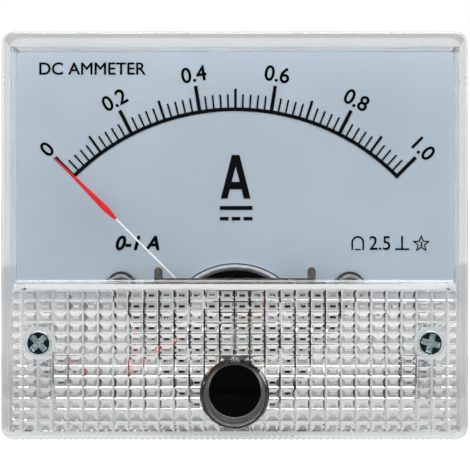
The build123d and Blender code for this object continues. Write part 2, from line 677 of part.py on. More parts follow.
with BuildPart() as balance_weights:
    rod(TAIL_WEIGHT_RADIUS, TAIL_LENGTH - TAIL_WEIGHT_LENGTH, TAIL_LENGTH, 180)
    rod(CROSS_WEIGHT_RADIUS, CROSS_ARM_LENGTH - CROSS_WEIGHT_LENGTH, CROSS_ARM_LENGTH, 90)
    rod(CROSS_WEIGHT_RADIUS, CROSS_ARM_LENGTH - CROSS_WEIGHT_LENGTH, CROSS_ARM_LENGTH, -90)
    balance_hole = TAIL_LENGTH + CUT_OVER
    for direction in (180, 90, -90):
        turn = math.radians(rest_turn + direction)
        heading = Vector(math.sin(turn), 0, math.cos(turn))
        with BuildSketch(Plane((0, pointer_level, pivot_z), z_dir=heading)) as hole:
            Circle(BALANCE_ROD_RADIUS)
        extrude(hole.sketch, amount=balance_hole, mode=Mode.SUBTRACT)
keep(balance_weights, "balance_weights")

# Bridges: flat plates on pillars that carry the jewel screws; the front one has the stop bar
front_bridge_back = chassis_front - BRIDGE_LIFT
front_bridge_front = front_bridge_back - BRIDGE_THICK
rear_bridge_front = ring_back + REAR_BRIDGE_GAP
rear_bridge_back = rear_bridge_front + REAR_BRIDGE_THICK
bar_top = pivot_z + BAR_RISE
stop_places = [(side * (BAR_HALF_WIDTH - LUG_WIDTH / 2), pivot_z + STOP_RISE) for side in (-1, 1)]
with BuildPart() as front_bridge:
    with BuildSketch(facing(front_bridge_back)):
        with Locations((0, bar_top - BAR_HEIGHT / 2)):
            Rectangle(2 * BAR_HALF_WIDTH, BAR_HEIGHT)
        with Locations(*[(side * (PILLAR_X - ARM_WIDTH / 2), (bar_top - BAR_HEIGHT + pivot_z) / 2)
                         for side in (-1, 1)]):
            Rectangle(ARM_WIDTH, bar_top - BAR_HEIGHT - pivot_z + ARM_WIDTH)
        with Locations((0, pivot_z)):
            Rectangle(2 * PILLAR_X, ARM_WIDTH)
            Circle(BRIDGE_HUB)
        with Locations(*pillar_places):
            Circle(ARM_WIDTH / 2)
        with Locations(*[(x, z - LUG_RISE / 2) for x, z in stop_places]):
            Rectangle(LUG_WIDTH, LUG_RISE)
        with Locations(*stop_places):
            Circle(LUG_WIDTH / 2)
            Circle(STOP_RADIUS, mode=Mode.SUBTRACT)
        with Locations((0, pivot_z)):
            Circle(JEWEL_RADIUS, mode=Mode.SUBTRACT)
        with Locations(*pillar_places):
            Circle(BRIDGE_SCREW_RADIUS, mode=Mode.SUBTRACT)
    extrude(amount=BRIDGE_THICK)
keep(front_bridge, "front_bridge")

with BuildPart() as stop_pins:
    rounds(STOP_RADIUS, front_bridge_back + STOP_REACH, front_bridge_front, stop_places)
keep(stop_pins, "stop_pins")

with BuildPart() as rear_bridge:
    with BuildSketch(facing(rear_bridge_back)):
        with Locations((0, pivot_z)):
            SlotCenterToCenter(2 * PILLAR_X, 2 * PILLAR_RADIUS)
            Circle(BRIDGE_HUB + PILLAR_RADIUS)
            Circle(JEWEL_RADIUS, mode=Mode.SUBTRACT)
        with Locations(*pillar_places):
            Circle(BRIDGE_SCREW_RADIUS, mode=Mode.SUBTRACT)
    extrude(amount=REAR_BRIDGE_THICK)
keep(rear_bridge, "rear_bridge")

with BuildPart() as front_pillars:
    rounds(PILLAR_RADIUS, chassis_front, front_bridge_back, pillar_places)
    rounds(BRIDGE_SCREW_RADIUS, chassis_front + CUT_OVER, front_bridge_back - CUT_OVER, pillar_places,
           Mode.SUBTRACT)
keep(front_pillars, "front_pillars")

with BuildPart() as rear_pillars:
    rounds(PILLAR_RADIUS, rear_bridge_front, post_front, pillar_places)
    rounds(BRIDGE_SCREW_RADIUS, rear_bridge_front + CUT_OVER, post_front - CUT_OVER, pillar_places,
           Mode.SUBTRACT)
keep(rear_pillars, "rear_pillars")


def slotted_screws(seat, outward, slot_turn):
    """Cheese-head screws through a bridge into its pillars; outward is -1 to the front."""
    head = seat + outward * BRIDGE_SCREW_HEIGHT
    tip = seat - outward * BRIDGE_SCREW_LENGTH
    rounds(BRIDGE_SCREW_HEAD, max(seat, head), min(seat, head), pillar_places)
    rounds(BRIDGE_SCREW_RADIUS, max(seat, tip), min(seat, tip), pillar_places)
    for x, z in pillar_places:
        with BuildSketch(facing(head, x, z, slot_turn)) as slot:
            Rectangle(2 * BRIDGE_SCREW_HEAD + CUT_OVER, BRIDGE_SCREW_HEIGHT / 3)
        extrude(slot.sketch, amount=BRIDGE_SCREW_HEIGHT / 2, both=True, mode=Mode.SUBTRACT)


with BuildPart() as front_bridge_screws:
    slotted_screws(front_bridge_front, -1, FRONT_SLOT_TURN)
keep(front_bridge_screws, "front_bridge_screws")

with BuildPart() as rear_bridge_screws:
    slotted_screws(rear_bridge_back, 1, REAR_SLOT_TURN)
keep(rear_bridge_screws, "rear_bridge_screws")


def jewel_screw(inner_end, outer_end, tip):
    """A screw that holds a cupped jewel in front of a staff's point."""
    back, front = max(inner_end, outer_end), min(inner_end, outer_end)
    rounds(JEWEL_RADIUS, back, front, pivot_place)
    rounds(JEWEL_CUP_RADIUS, max(inner_end, tip), min(inner_end, tip), pivot_place, Mode.SUBTRACT)
    with BuildSketch(facing(outer_end, 0, pivot_z)) as slot:
        Rectangle(2 * JEWEL_RADIUS + CUT_OVER, JEWEL_RADIUS / 3)
    extrude(slot.sketch, amount=JEWEL_RADIUS / 2, both=True, mode=Mode.SUBTRACT)


front_tip = front_shoulder - TIP_LENGTH
rear_tip = rear_shoulder + TIP_LENGTH
front_jewel_inner = front_tip + JEWEL_CUP_DEPTH
rear_jewel_inner = rear_tip - JEWEL_CUP_DEPTH
with BuildPart() as front_jewel_screw:
    jewel_screw(front_jewel_inner, front_bridge_front - JEWEL_OUTSIDE, front_tip - TAG_GAP / 3)
keep(front_jewel_screw, "front_jewel_screw")

with BuildPart() as rear_jewel_screw:
    jewel_screw(rear_jewel_inner, rear_bridge_back + JEWEL_OUTSIDE, rear_tip + TAG_GAP / 3)
keep(rear_jewel_screw, "rear_jewel_screw")

with BuildPart() as jewel_nuts:
    for seat, outward in ((front_bridge_front, -1), (rear_bridge_back, 1)):
        end = seat + outward * NUT_THICK
        with BuildSketch(facing(max(seat, end), 0, pivot_z)) as nut:
            RegularPolygon(NUT_RADIUS, 6)
            Circle(JEWEL_RADIUS, mode=Mode.SUBTRACT)
        extrude(nut.sketch, amount=NUT_THICK)
keep(jewel_nuts, "jewel_nuts")


# Hairsprings: flat spirals from a collet on each staff
def spiral_spring(level):
    """A flat spiral strip whose inner end is fixed in a collet, its front edge at level."""
    steps = 12 * SPRING_TURNS
    inner, outer = [], []
    for step in range(steps + 1):
        angle = 2 * math.pi * SPRING_TURNS * step / steps
        radius = SPRING_START + SPRING_PITCH * SPRING_TURNS * step / steps
        inner.append((radius * math.cos(angle), radius * math.sin(angle)))
        outer.append(((radius + SPRING_STRIP) * math.cos(angle), (radius + SPRING_STRIP) * math.sin(angle)))
    with BuildSketch(facing(level + SPRING_HEIGHT, 0, pivot_z)) as strip:
        with BuildLine():
            Spline(*inner)
            Spline(*outer)
            Line(inner[0], outer[0])
            Line(inner[-1], outer[-1])
        make_face()
    extrude(strip.sketch, amount=SPRING_HEIGHT)
    rounds(COLLET_RADIUS, level + SPRING_HEIGHT, level, pivot_place)
    rounds(STAFF_RADIUS, level + SPRING_HEIGHT + CUT_OVER, level - CUT_OVER, pivot_place, Mode.SUBTRACT)


lever_front = front_bridge_back + LEVER_GAP
lever_back = lever_front + LEVER_THICK
front_spring_level = lever_back + SPRING_LIFT
rear_spring_level = winding_back + STAFF_LENGTH / 4
with BuildPart() as front_hairspring:
    spiral_spring(front_spring_level)
keep(front_hairspring, "front_hairspring")

with BuildPart() as rear_hairspring:
    spiral_spring(rear_spring_level)
keep(rear_hairspring, "rear_hairspring")

spring_reach = SPRING_START + SPRING_PITCH * SPRING_TURNS + SPRING_STRIP
tag_inner = spring_reach + TAG_GAP

# Lever that moves the outer end of the front spring when the adjuster is turned
crank_z = adjuster_z + CRANK_OFFSET
with BuildPart() as zero_lever:
    with BuildSketch(facing(lever_back)):
        with Locations((0, pivot_z)):
            Circle(LEVER_HUB)
        with Locations((0, (pivot_z + crank_z) / 2)):
            Rectangle(LEVER_ARM_WIDTH, pivot_z - crank_z)
        with Locations((0, crank_z)):
            Rectangle(FORK_WIDTH, 2 * FORK_TAIL)
        with Locations((0, crank_z - FORK_TAIL / 2)):
            Rectangle(2 * (CRANK_RADIUS + CRANK_PLAY), 3 * FORK_TAIL, mode=Mode.SUBTRACT)
        with Locations((tag_inner / 2, pivot_z)):
            Rectangle(tag_inner, TAG_WIDTH)
        with Locations((0, pivot_z)):
            Circle(JEWEL_RADIUS + RUNNING_CLEARANCE, mode=Mode.SUBTRACT)
    extrude(amount=LEVER_THICK)
    block_between(tag_inner, tag_inner + TAG_THICK, pivot_z - TAG_WIDTH / 2, pivot_z + TAG_WIDTH / 2,
                  front_spring_level + SPRING_HEIGHT, lever_front)
keep(zero_lever, "zero_lever")

with BuildPart() as rear_spring_tag:
    block_between(tag_inner, tag_inner + TAG_THICK, pivot_z - TAG_WIDTH / 2, pivot_z + TAG_WIDTH / 2,
                  rear_bridge_front, rear_spring_level)
keep(rear_spring_tag, "rear_spring_tag")

# Zero adjuster: a slotted head with a shaft and a crank pin, held by a clip behind the floor
head_back = well_floor - ADJUSTER_LIFT
head_front = head_back - ADJUSTER_THICK
shaft_end = well_back + ADJUSTER_LIFT + 2 * CLIP_THICK
adjuster_place = [(0, adjuster_z)]
with BuildPart() as zero_adjuster:
    rounds(ADJUSTER_RADIUS, head_back, head_front, adjuster_place)
    fillet(zero_adjuster.edges().group_by(Axis.Y)[0], ADJUSTER_THICK / 6)
    rounds(ADJUSTER_SHAFT, shaft_end, head_back, adjuster_place)
    rounds(CRANK_RADIUS, lever_back + LEVER_THICK, shaft_end, [(0, crank_z)])
    block_between(-ADJUSTER_RADIUS, ADJUSTER_RADIUS, adjuster_z - SLOT_WIDTH / 2, adjuster_z + SLOT_WIDTH / 2,
                  head_front + SLOT_DEPTH, head_front - CUT_OVER, Mode.SUBTRACT)
keep(zero_adjuster, "zero_adjuster")

with BuildPart() as adjuster_clip:
    clip_front = well_back + ADJUSTER_LIFT
    rounds(CLIP_RADIUS, clip_front + CLIP_THICK, clip_front, adjuster_place)
    rounds(ADJUSTER_SHAFT, clip_front + 2 * CLIP_THICK, clip_front - CLIP_THICK, adjuster_place,
           Mode.SUBTRACT)
keep(adjuster_clip, "adjuster_clip")

# Terminals: bolts through the drum's floor, with the shunt and a solder tag under their heads
shunt_back = drum_floor - TERMINAL_BOSS
shunt_front = shunt_back - SHUNT_THICK
tag_front = shunt_front - TAG_RING_THICK
with BuildPart() as shunt_strip:
    rounds(SHUNT_END_RADIUS, shunt_back, shunt_front, terminal_places)
    foot, knee = TERMINAL_X - SHUNT_END_RADIUS, TERMINAL_X - SHUNT_END_RADIUS - SHUNT_BOW
    with BuildSketch(Plane.XY.offset(TERMINAL_RISE)) as band:
        with BuildLine():
            Polyline((-TERMINAL_X, shunt_back), (-foot, shunt_back), (-knee, shunt_back - SHUNT_BOW),
                     (knee, shunt_back - SHUNT_BOW), (foot, shunt_back), (TERMINAL_X, shunt_back),
                     (TERMINAL_X, shunt_front), (foot - SHUNT_THICK / 3, shunt_front),
                     (knee - SHUNT_THICK / 3, shunt_front - SHUNT_BOW),
                     (-knee + SHUNT_THICK / 3, shunt_front - SHUNT_BOW),
                     (-foot + SHUNT_THICK / 3, shunt_front), (-TERMINAL_X, shunt_front), close=True)
        make_face()
    extrude(band.sketch, amount=SHUNT_WIDTH / 2, both=True)
    rounds(TERMINAL_RADIUS, shunt_back + CUT_OVER, shunt_front - CUT_OVER, terminal_places, Mode.SUBTRACT)
keep(shunt_strip, "shunt_strip")

with BuildPart() as solder_tags:
    with BuildSketch(facing(shunt_front)):
        with Locations(*terminal_places):
            Circle(TAG_RING_RADIUS)
        with Locations(*[(x, z - TAG_TAIL_LENGTH / 2) for x, z in terminal_places]):
            Rectangle(TAG_TAIL_WIDTH, TAG_TAIL_LENGTH)
        with Locations(*terminal_places):
            Circle(TERMINAL_RADIUS, mode=Mode.SUBTRACT)
    extrude(amount=TAG_RING_THICK)
keep(solder_tags, "solder_tags")


def hexes(back, front, bored=True):
    """Hexagons on the terminal axes between two levels, with their corners turned off."""
    with BuildSketch(facing(back)) as corners:
        with Locations(*terminal_places):
            RegularPolygon(TERMINAL_HEX / 2, 6, major_radius=False)
            if bored:
                Circle(TERMINAL_RADIUS, mode=Mode.SUBTRACT)
    across(back, front, corners)


with BuildPart() as terminal_bolts:
    hexes(tag_front, tag_front - TERMINAL_HEAD, False)
    rounds(TERMINAL_RADIUS, DRUM_DEPTH + TERMINAL_OUTSIDE, tag_front, terminal_places)
    chamfer(terminal_bolts.edges().filter_by(GeomType.CIRCLE).group_by(Axis.Y)[-1], TERMINAL_CHAMFER)
keep(terminal_bolts, "terminal_bolts")

fixed_washer_back = DRUM_DEPTH + WASHER_THICK
fixed_nut_back = fixed_washer_back + TERMINAL_NUT
lug_washer_back = fixed_nut_back + WASHER_THICK
lock_washer_back = lug_washer_back + LOCK_WASHER_THICK
clamp_nut_back = lock_washer_back + TERMINAL_NUT
with BuildPart() as terminal_washers:
    rounds(WASHER_RADIUS, fixed_washer_back, DRUM_DEPTH, terminal_places)
    rounds(WASHER_RADIUS, lug_washer_back, fixed_nut_back, terminal_places)
    rounds(TERMINAL_RADIUS, lug_washer_back + CUT_OVER, DRUM_DEPTH - CUT_OVER, terminal_places, Mode.SUBTRACT)
keep(terminal_washers, "terminal_washers")

with BuildPart() as lock_washers:
    rounds(LOCK_WASHER_RADIUS, lock_washer_back, lug_washer_back, terminal_places)
    rounds(TERMINAL_RADIUS, lock_washer_back + CUT_OVER, lug_washer_back - CUT_OVER, terminal_places,
           Mode.SUBTRACT)
    for x, z in terminal_places:
        block_between(x, x + 2 * LOCK_WASHER_RADIUS, z - LOCK_WASHER_THICK / 4, z + LOCK_WASHER_THICK / 4,
                      lock_washer_back + CUT_OVER, lug_washer_back - CUT_OVER, Mode.SUBTRACT)
keep(lock_washers, "lock_washers")

with BuildPart() as terminal_nuts:
    hexes(fixed_nut_back, fixed_washer_back)
    hexes(clamp_nut_back, lock_washer_back)
keep(terminal_nuts, "terminal_nuts")

# Mounting studs: screws moulded into the flange, heads inside
with BuildPart() as mounting_studs:
    rounds(STUD_HEAD_RADIUS, -STUD_COVER, -STUD_COVER - STUD_HEAD, stud_places)
    rounds(STUD_NECK_RADIUS, 0, -STUD_COVER, stud_places)
    rounds(STUD_RADIUS, STUD_LENGTH, 0, stud_places)
    chamfer(mounting_studs.edges().filter_by(GeomType.CIRCLE).group_by(Axis.Y)[-1], STUD_RADIUS / 5)
keep(mounting_studs, "mounting_studs")


# Leads: insulated wires from the bridges round the ring to the solder tags
ARC_SHARE = 0.45


def lead(route):
    """A round wire along straight runs joined by arcs as large as the runs allow."""
    points = [Vector(*point) for point in route]
    radii = []
    for before, corner, after in zip(points, points[1:], points[2:]):
        turn = math.radians((corner - before).get_angle(after - corner))
        shorter = min((corner - before).length, (after - corner).length)
        radii.append(ARC_SHARE * shorter / math.tan(turn / 2))
    with BuildLine() as path:
        FilletPolyline(*points, radius=radii)
    with BuildSketch(Plane(path.line @ 0, z_dir=path.line % 0)) as section:
        Circle(LEAD_RADIUS)
    sweep(section.sketch, path=path.line)
    print("lead", round(path.wire().length, 1), "mm, bends", [round(radius, 1) for radius in radii])


front_solder_y = front_bridge_front - LEAD_RADIUS - LEAD_GAP
rear_solder_y = rear_bridge_back + LEAD_RADIUS + LEAD_GAP
tag_solder_y = tag_front - LEAD_RADIUS - LEAD_GAP
tag_tip_z = TERMINAL_RISE - TAG_TAIL_LENGTH
with BuildPart() as red_lead:
    lead([
        (-7.4, front_solder_y, pivot_z),
        (-10.6, -9.7, -13.6),
        (-13.8, -9.2, -16.6),
        (-15.6, -6.0, -17.6),
        (-14.8, -1.5, -15.7),
        (-14.9, 5.5, -14.8),
        (-15.3, 12.0, -12.6),
        (-13.6, 16.5, -8.5),
        (-TERMINAL_X, 19.0, -4.4),
        (-TERMINAL_X, tag_solder_y, tag_tip_z + LEAD_RADIUS),
    ])
keep(red_lead, "red_lead")

with BuildPart() as black_lead:
    lead([
        (6.8, rear_solder_y, pivot_z),
        (9.4, 11.2, -11.9),
        (11.8, 14.2, -9.6),
        (12.4, 17.2, -6.4),
        (TERMINAL_X, tag_solder_y, tag_tip_z - LEAD_RADIUS),
    ])
keep(black_lead, "black_lead")
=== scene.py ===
import math
import random

import bmesh
import bpy
from mathutils import Matrix, Vector


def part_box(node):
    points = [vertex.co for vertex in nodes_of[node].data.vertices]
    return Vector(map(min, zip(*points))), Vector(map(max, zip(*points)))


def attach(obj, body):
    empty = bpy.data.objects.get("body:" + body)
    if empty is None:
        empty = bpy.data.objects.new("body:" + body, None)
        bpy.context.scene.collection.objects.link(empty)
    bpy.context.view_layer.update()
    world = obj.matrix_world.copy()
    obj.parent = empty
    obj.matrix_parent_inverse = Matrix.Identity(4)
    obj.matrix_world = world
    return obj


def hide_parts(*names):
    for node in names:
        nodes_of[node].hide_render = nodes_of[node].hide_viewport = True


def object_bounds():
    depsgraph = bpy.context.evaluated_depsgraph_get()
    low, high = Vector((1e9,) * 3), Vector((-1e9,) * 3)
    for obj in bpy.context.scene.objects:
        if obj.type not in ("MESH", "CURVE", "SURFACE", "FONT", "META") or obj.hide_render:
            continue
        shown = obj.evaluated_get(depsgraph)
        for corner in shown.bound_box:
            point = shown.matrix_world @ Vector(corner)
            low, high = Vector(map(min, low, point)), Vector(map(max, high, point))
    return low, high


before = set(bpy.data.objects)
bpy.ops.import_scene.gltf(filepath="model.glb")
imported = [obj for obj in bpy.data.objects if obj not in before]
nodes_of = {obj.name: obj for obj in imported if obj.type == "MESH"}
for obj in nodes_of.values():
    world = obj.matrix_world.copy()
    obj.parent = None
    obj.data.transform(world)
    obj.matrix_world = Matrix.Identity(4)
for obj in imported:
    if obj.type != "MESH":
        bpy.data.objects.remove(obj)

# Rear case: the clear flange and drum that the movement is screwed into, one piece of moulded
# polystyrene. The flow of the plastic leaves faint waves in its walls, and lamps shine through it.
cad_low, cad_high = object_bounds()
MM = 0.001
STYRENE_IOR = 1.59
STYRENE_TINT = (0.985, 0.99, 0.992)
STYRENE_THICK_TINT = (0.955, 0.968, 0.972)
CASE_ROUGHNESS = 0.03
FLOW_SIZE = 9 * MM
FLOW_RELIEF = 0.02 * MM
AIR_GAP = 0.005 * MM


def new_finish(name):
    """A material with nothing but a shader, its output and the place on the piece to paint by."""
    finish = bpy.data.materials.new(name)
    finish.use_nodes = True
    tree = finish.node_tree
    tree.nodes.clear()
    shader = tree.nodes.new("ShaderNodeBsdfPrincipled")
    output = tree.nodes.new("ShaderNodeOutputMaterial")
    tree.links.new(shader.outputs["BSDF"], output.inputs["Surface"])
    tree.nodes.new("ShaderNodeTexCoord")
    return finish


def shader_of(finish):
    """The finish's shader."""
    return finish.node_tree.nodes["Principled BSDF"]


def spot_on(finish):
    """The point on the piece, in metres, that the finish is painted by."""
    return finish.node_tree.nodes["Texture Coordinate"].outputs["Object"]


def speckle(finish, size, detail=3):
    """A noise whose patches are about that size."""
    noise = finish.node_tree.nodes.new("ShaderNodeTexNoise")
    noise.inputs["Scale"].default_value = 1 / size
    noise.inputs["Detail"].default_value = detail
    finish.node_tree.links.new(spot_on(finish), noise.inputs["Vector"])
    return noise.outputs["Fac"]


def ramp_through(tree, value, stops):
    """A colour that passes through (position, colour) stops as the value goes from 0 to 1."""
    ramp = tree.nodes.new("ShaderNodeValToRGB")
    marks = ramp.color_ramp.elements
    while len(marks) < len(stops):
        marks.new(1)
    for mark, (position, colour) in zip(marks, stops):
        mark.position = position
        mark.color = (*colour, 1)
    tree.links.new(value, ramp.inputs["Fac"])
    return ramp.outputs["Color"]


def shade_between(tree, value, dark, light, low=0.35, high=0.65):
    """A colour from dark to light as the value goes from low to high."""
    return ramp_through(tree, value, ((low, dark), (high, light)))


def dent(finish, height, depth):
    """Small hills and hollows of that depth on the finish."""
    tree = finish.node_tree
    bump = tree.nodes.new("ShaderNodeBump")
    bump.inputs["Strength"].default_value = 1
    bump.inputs["Distance"].default_value = depth
    tree.links.new(height, bump.inputs["Height"])
    tree.links.new(bump.outputs["Normal"], shader_of(finish).inputs["Normal"])


def mix_surfaces(tree, share, one, other):
    """Shows one surface or the other, as far as the share says."""
    mix = tree.nodes.new("ShaderNodeMixShader")
    for value, socket in zip((share, one, other), mix.inputs):
        tree.links.new(value, socket)
    tree.links.new(mix.outputs["Shader"], tree.nodes["Material Output"].inputs["Surface"])


def clear_styrene(name, roughness):
    """Clear plastic with faint flow waves, which lets the lamps' light through."""
    finish = new_finish(name)
    tree = finish.node_tree
    shader = shader_of(finish)
    flow = speckle(finish, FLOW_SIZE)
    tree.links.new(shade_between(tree, flow, STYRENE_THICK_TINT, STYRENE_TINT), shader.inputs["Base Color"])
    shader.inputs["Transmission Weight"].default_value = 1
    shader.inputs["IOR"].default_value = STYRENE_IOR
    shader.inputs["Roughness"].default_value = roughness
    dent(finish, flow, FLOW_RELIEF)
    rays = tree.nodes.new("ShaderNodeLightPath")
    open_way = tree.nodes.new("ShaderNodeBsdfTransparent")
    mix_surfaces(tree, rays.outputs["Is Shadow Ray"], shader.outputs["BSDF"], open_way.outputs["BSDF"])
    return finish


def coat(finish, *nodes):
    """Gives CAD pieces their finish."""
    for node in nodes:
        slots = nodes_of[node].data.materials
        slots.clear()
        slots.append(finish)


def part_clear_faces(node):
    """Draws a clear piece in by a hair, so that light crosses an air gap where two of them touch."""
    drawn_in = nodes_of[node].modifiers.new("air_gap", "DISPLACE")
    drawn_in.mid_level = 0
    drawn_in.strength = -AIR_GAP


coat(clear_styrene("case_styrene", CASE_ROUGHNESS), "rear_case")
part_clear_faces("rear_case")

# Mounting studs: two M3 screws with zinc plate, moulded into the flange by their heads. Their
# threads were rolled, and stand out behind the panel for the nuts.
STUD_RADIUS = 1.5 * MM
STUD_HEAD = 1.2 * MM
STUD_HEAD_EDGE = 0.2 * MM
STUD_NECK_RADIUS = 1.9 * MM
STUD_PITCH = 0.5 * MM
THREAD_SIDES = 32
THREAD_DEPTH_SHARE = 0.6
THREAD_PROFILE = ((0, 0), (0.125, 0), (0.45, 1), (0.575, 1))     # shares of the pitch and the depth
ROUND_SIDES = 40
WELD = 0.001 * MM


def feed(tree, value, socket):
    """Links another node's value to a socket, or sets the socket to a plain value."""
    if isinstance(value, bpy.types.NodeSocket):
        tree.links.new(value, socket)
    else:
        socket.default_value = value


def span_between(tree, value, low, high, start=0, end=1):
    """The value, stretched from start..end to low..high."""
    span = tree.nodes.new("ShaderNodeMapRange")
    for side, bound in (("From Min", start), ("From Max", end), ("To Min", low), ("To Max", high)):
        feed(tree, bound, span.inputs[side])
    tree.links.new(value, span.inputs["Value"])
    return span.outputs["Result"]


def grained(name, dark, light, grain, roughness, relief, detail=3):
    """A finish whose colour wanders with its grain, and so does its roughness if that is a pair."""
    finish = new_finish(name)
    tree = finish.node_tree
    shader = shader_of(finish)
    marks = speckle(finish, grain, detail)
    tree.links.new(shade_between(tree, marks, dark, light), shader.inputs["Base Color"])
    gloss = span_between(tree, marks, *roughness) if isinstance(roughness, tuple) else roughness
    feed(tree, gloss, shader.inputs["Roughness"])
    if relief:
        dent(finish, marks, relief)
    return finish


def metal(name, dark, light, grain, roughness, relief=0.004 * MM):
    """A metal whose colour and roughness wander with its grain."""
    finish = grained(name, dark, light, grain, roughness, relief, detail=6)
    shader_of(finish).inputs["Metallic"].default_value = 1
    return finish


def put_in(name, data):
    """A new object in the scene."""
    thing = bpy.data.objects.new(name, data)
    bpy.context.scene.collection.objects.link(thing)
    return thing


def piece_from(name, mesh, finish, body):
    """A finished piece of the object, riding on its body."""
    piece = put_in(name, mesh)
    mesh.materials.clear()
    mesh.materials.append(finish)
    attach(piece, body)
    return piece


def mesh_from(name, shape):
    """A mesh with its faces turned outward."""
    bmesh.ops.recalc_face_normals(shape, faces=shape.faces)
    mesh = bpy.data.meshes.new(name)
    shape.to_mesh(mesh)
    shape.free()
    return mesh


def turn_up(shape, rings, x, z, sides=ROUND_SIDES):
    """Adds a solid turned about the depth axis at (x, z) from rings of (depth, radius)."""
    angles = [2 * math.pi * side / sides for side in range(sides)]
    loops = [[shape.verts.new((x + radius * math.cos(angle), depth, z + radius * math.sin(angle)))
              for angle in angles] for depth, radius in rings]
    for near, far in zip(loops, loops[1:]):
        for side in range(sides):
            after = (side + 1) % sides
            shape.faces.new((near[side], far[side], far[after], near[after]))
    shape.faces.new(loops[0])
    shape.faces.new(loops[-1][::-1])


def roll_thread(shape, x, z, start, end, radius, pitch):
    """Adds a rolled thread along the depth axis, with a flat start and a chamfered end."""
    root = radius - THREAD_DEPTH_SHARE * pitch
    rows = []
    for turn in range(-1, math.ceil((end - start) / pitch) + 1):
        for share, rise in THREAD_PROFILE:
            reach = root + rise * (radius - root)
            row = []
            for side in range(THREAD_SIDES + 1):
                angle = 2 * math.pi * side / THREAD_SIDES
                depth = min(max(start + pitch * (turn + share + side / THREAD_SIDES), start), end)
                out = min(reach, root + (end - depth))
                row.append(shape.verts.new((x + out * math.cos(angle), depth, z + out * math.sin(angle))))
            rows.append(row)
    for low, high in zip(rows, rows[1:]):
        for side in range(THREAD_SIDES):
            shape.faces.new((low[side], high[side], high[side + 1], low[side + 1]))
    bmesh.ops.remove_doubles(shape, verts=shape.verts, dist=WELD)
    bmesh.ops.dissolve_degenerate(shape, edges=shape.edges, dist=WELD / 2)
    bmesh.ops.holes_fill(shape, edges=[edge for edge in shape.edges if edge.is_boundary], sides=0)


zinc = metal("bluish_zinc", dark=(0.50, 0.53, 0.55), light=(0.66, 0.69, 0.71), grain=0.8 * MM,
             roughness=(0.08, 0.2))
stud_low, stud_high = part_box("mounting_studs")
stud_head_radius = (stud_high.z - stud_low.z) / 2
stud_z = (stud_high.z + stud_low.z) / 2
head_back = stud_low.y + STUD_HEAD
studs = bmesh.new()
for stud_x in (stud_low.x + stud_head_radius, stud_high.x - stud_head_radius):
    turn_up(studs, [(stud_low.y, stud_head_radius - STUD_HEAD_EDGE),
                    (stud_low.y + STUD_HEAD_EDGE, stud_head_radius),
                    (head_back, stud_head_radius)], stud_x, stud_z)
    turn_up(studs, [(head_back, STUD_NECK_RADIUS), (0, STUD_NECK_RADIUS)], stud_x, stud_z)
    roll_thread(studs, stud_x, stud_z, 0, stud_high.y, STUD_RADIUS, STUD_PITCH)
stud_mesh = mesh_from("threaded_studs", studs)
stud_pair = piece_from("threaded_studs", stud_mesh, zinc, "housing")
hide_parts("mounting_studs")

# Terminals: two M4 brass bolts through the drum's floor, each with washers, a lock washer and nuts.
# They carry the current in, so the brass is bright and left without a coat.
TERMINAL_RADIUS = 2.0 * MM
TERMINAL_PITCH = 0.7 * MM
HEX_SIDES = 6
HEX_HALF_FLATS = 3.5 * MM
HEX_CORNER = HEX_HALF_FLATS / math.cos(math.pi / HEX_SIDES)
HEX_EDGE = 0.35 * MM
EASED_ANGLE = math.radians(35)
EASED_STEPS = 2


def ease_edges(node, width):
    """Breaks a machined piece's sharp edges, as tumbling does."""
    eased = nodes_of[node].modifiers.new("eased_edges", "BEVEL")
    eased.width = width
    eased.segments = EASED_STEPS
    eased.limit_method = "ANGLE"
    eased.angle_limit = EASED_ANGLE


brass = metal("turned_brass", dark=(0.69, 0.49, 0.22), light=(0.76, 0.55, 0.26), grain=0.35 * MM,
              roughness=(0.2, 0.32), relief=0.001 * MM)
steel = metal("bright_steel", dark=(0.48, 0.49, 0.50), light=(0.64, 0.65, 0.66), grain=0.7 * MM,
              roughness=(0.2, 0.36))
bolt_low, bolt_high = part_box("terminal_bolts")
tag_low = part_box("solder_tags")[0]
bolt_z = (bolt_low.z + bolt_high.z) / 2
bolt_xs = (bolt_low.x + HEX_CORNER, bolt_high.x - HEX_CORNER)
bolts = bmesh.new()
for bolt_x in bolt_xs:
    turn_up(bolts, [(bolt_low.y, HEX_CORNER - HEX_EDGE), (bolt_low.y + HEX_EDGE, HEX_CORNER),
                    (tag_low.y, HEX_CORNER)], bolt_x, bolt_z, HEX_SIDES)
    roll_thread(bolts, bolt_x, bolt_z, tag_low.y, bolt_high.y, TERMINAL_RADIUS, TERMINAL_PITCH)
bolt_mesh = mesh_from("threaded_terminals", bolts)
bolt_pair = piece_from("threaded_terminals", bolt_mesh, brass, "housing")
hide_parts("terminal_bolts")
coat(brass, "terminal_washers", "terminal_nuts", "solder_tags")
coat(steel, "lock_washers")
ease_edges("terminal_nuts", width=0.25 * MM)
ease_edges("terminal_washers", width=0.12 * MM)
ease_edges("lock_washers", width=0.08 * MM)

# Shunt: a strip of manganin alloy that carries most of the current past the coil. It is formed in
# a bow between the terminals and clamped under their heads.
manganin = metal("manganin_strip", dark=(0.40, 0.25, 0.17), light=(0.56, 0.37, 0.26), grain=1.2 * MM,
                 roughness=(0.28, 0.45))
coat(manganin, "shunt_strip")

# Movement: an iron ring with nickel plate, the round magnet in it, and a coil of enamelled wire on
# a metal former that turns between them on pointed staffs. The ring's bore is painted near-black as
# painted shade, and each turn of the wire is painted darker at its sides as painted shade.
RING_RIM_MM = 0.95
RING_RIM_FADE_MM = 0.15
WIRE = 0.11 * MM
# Each turn of wire is painted darker towards its sides: painted shade between the turns.
WIRE_SIDE_PAINTED_SHADE = (0.07, 0.025, 0.014)
WIRE_TOP = (0.26, 0.11, 0.06)
WIRE_TOP_FROM = 0.8
WAVE_RADIANS = 20          # in each unit of the wave texture's scale
COIL_TURN = math.radians(-45)
COPPER_METALLIC = 0.7
COPPER_ROUGHNESS = 0.32
COPPER_RELIEF = 0.04 * MM


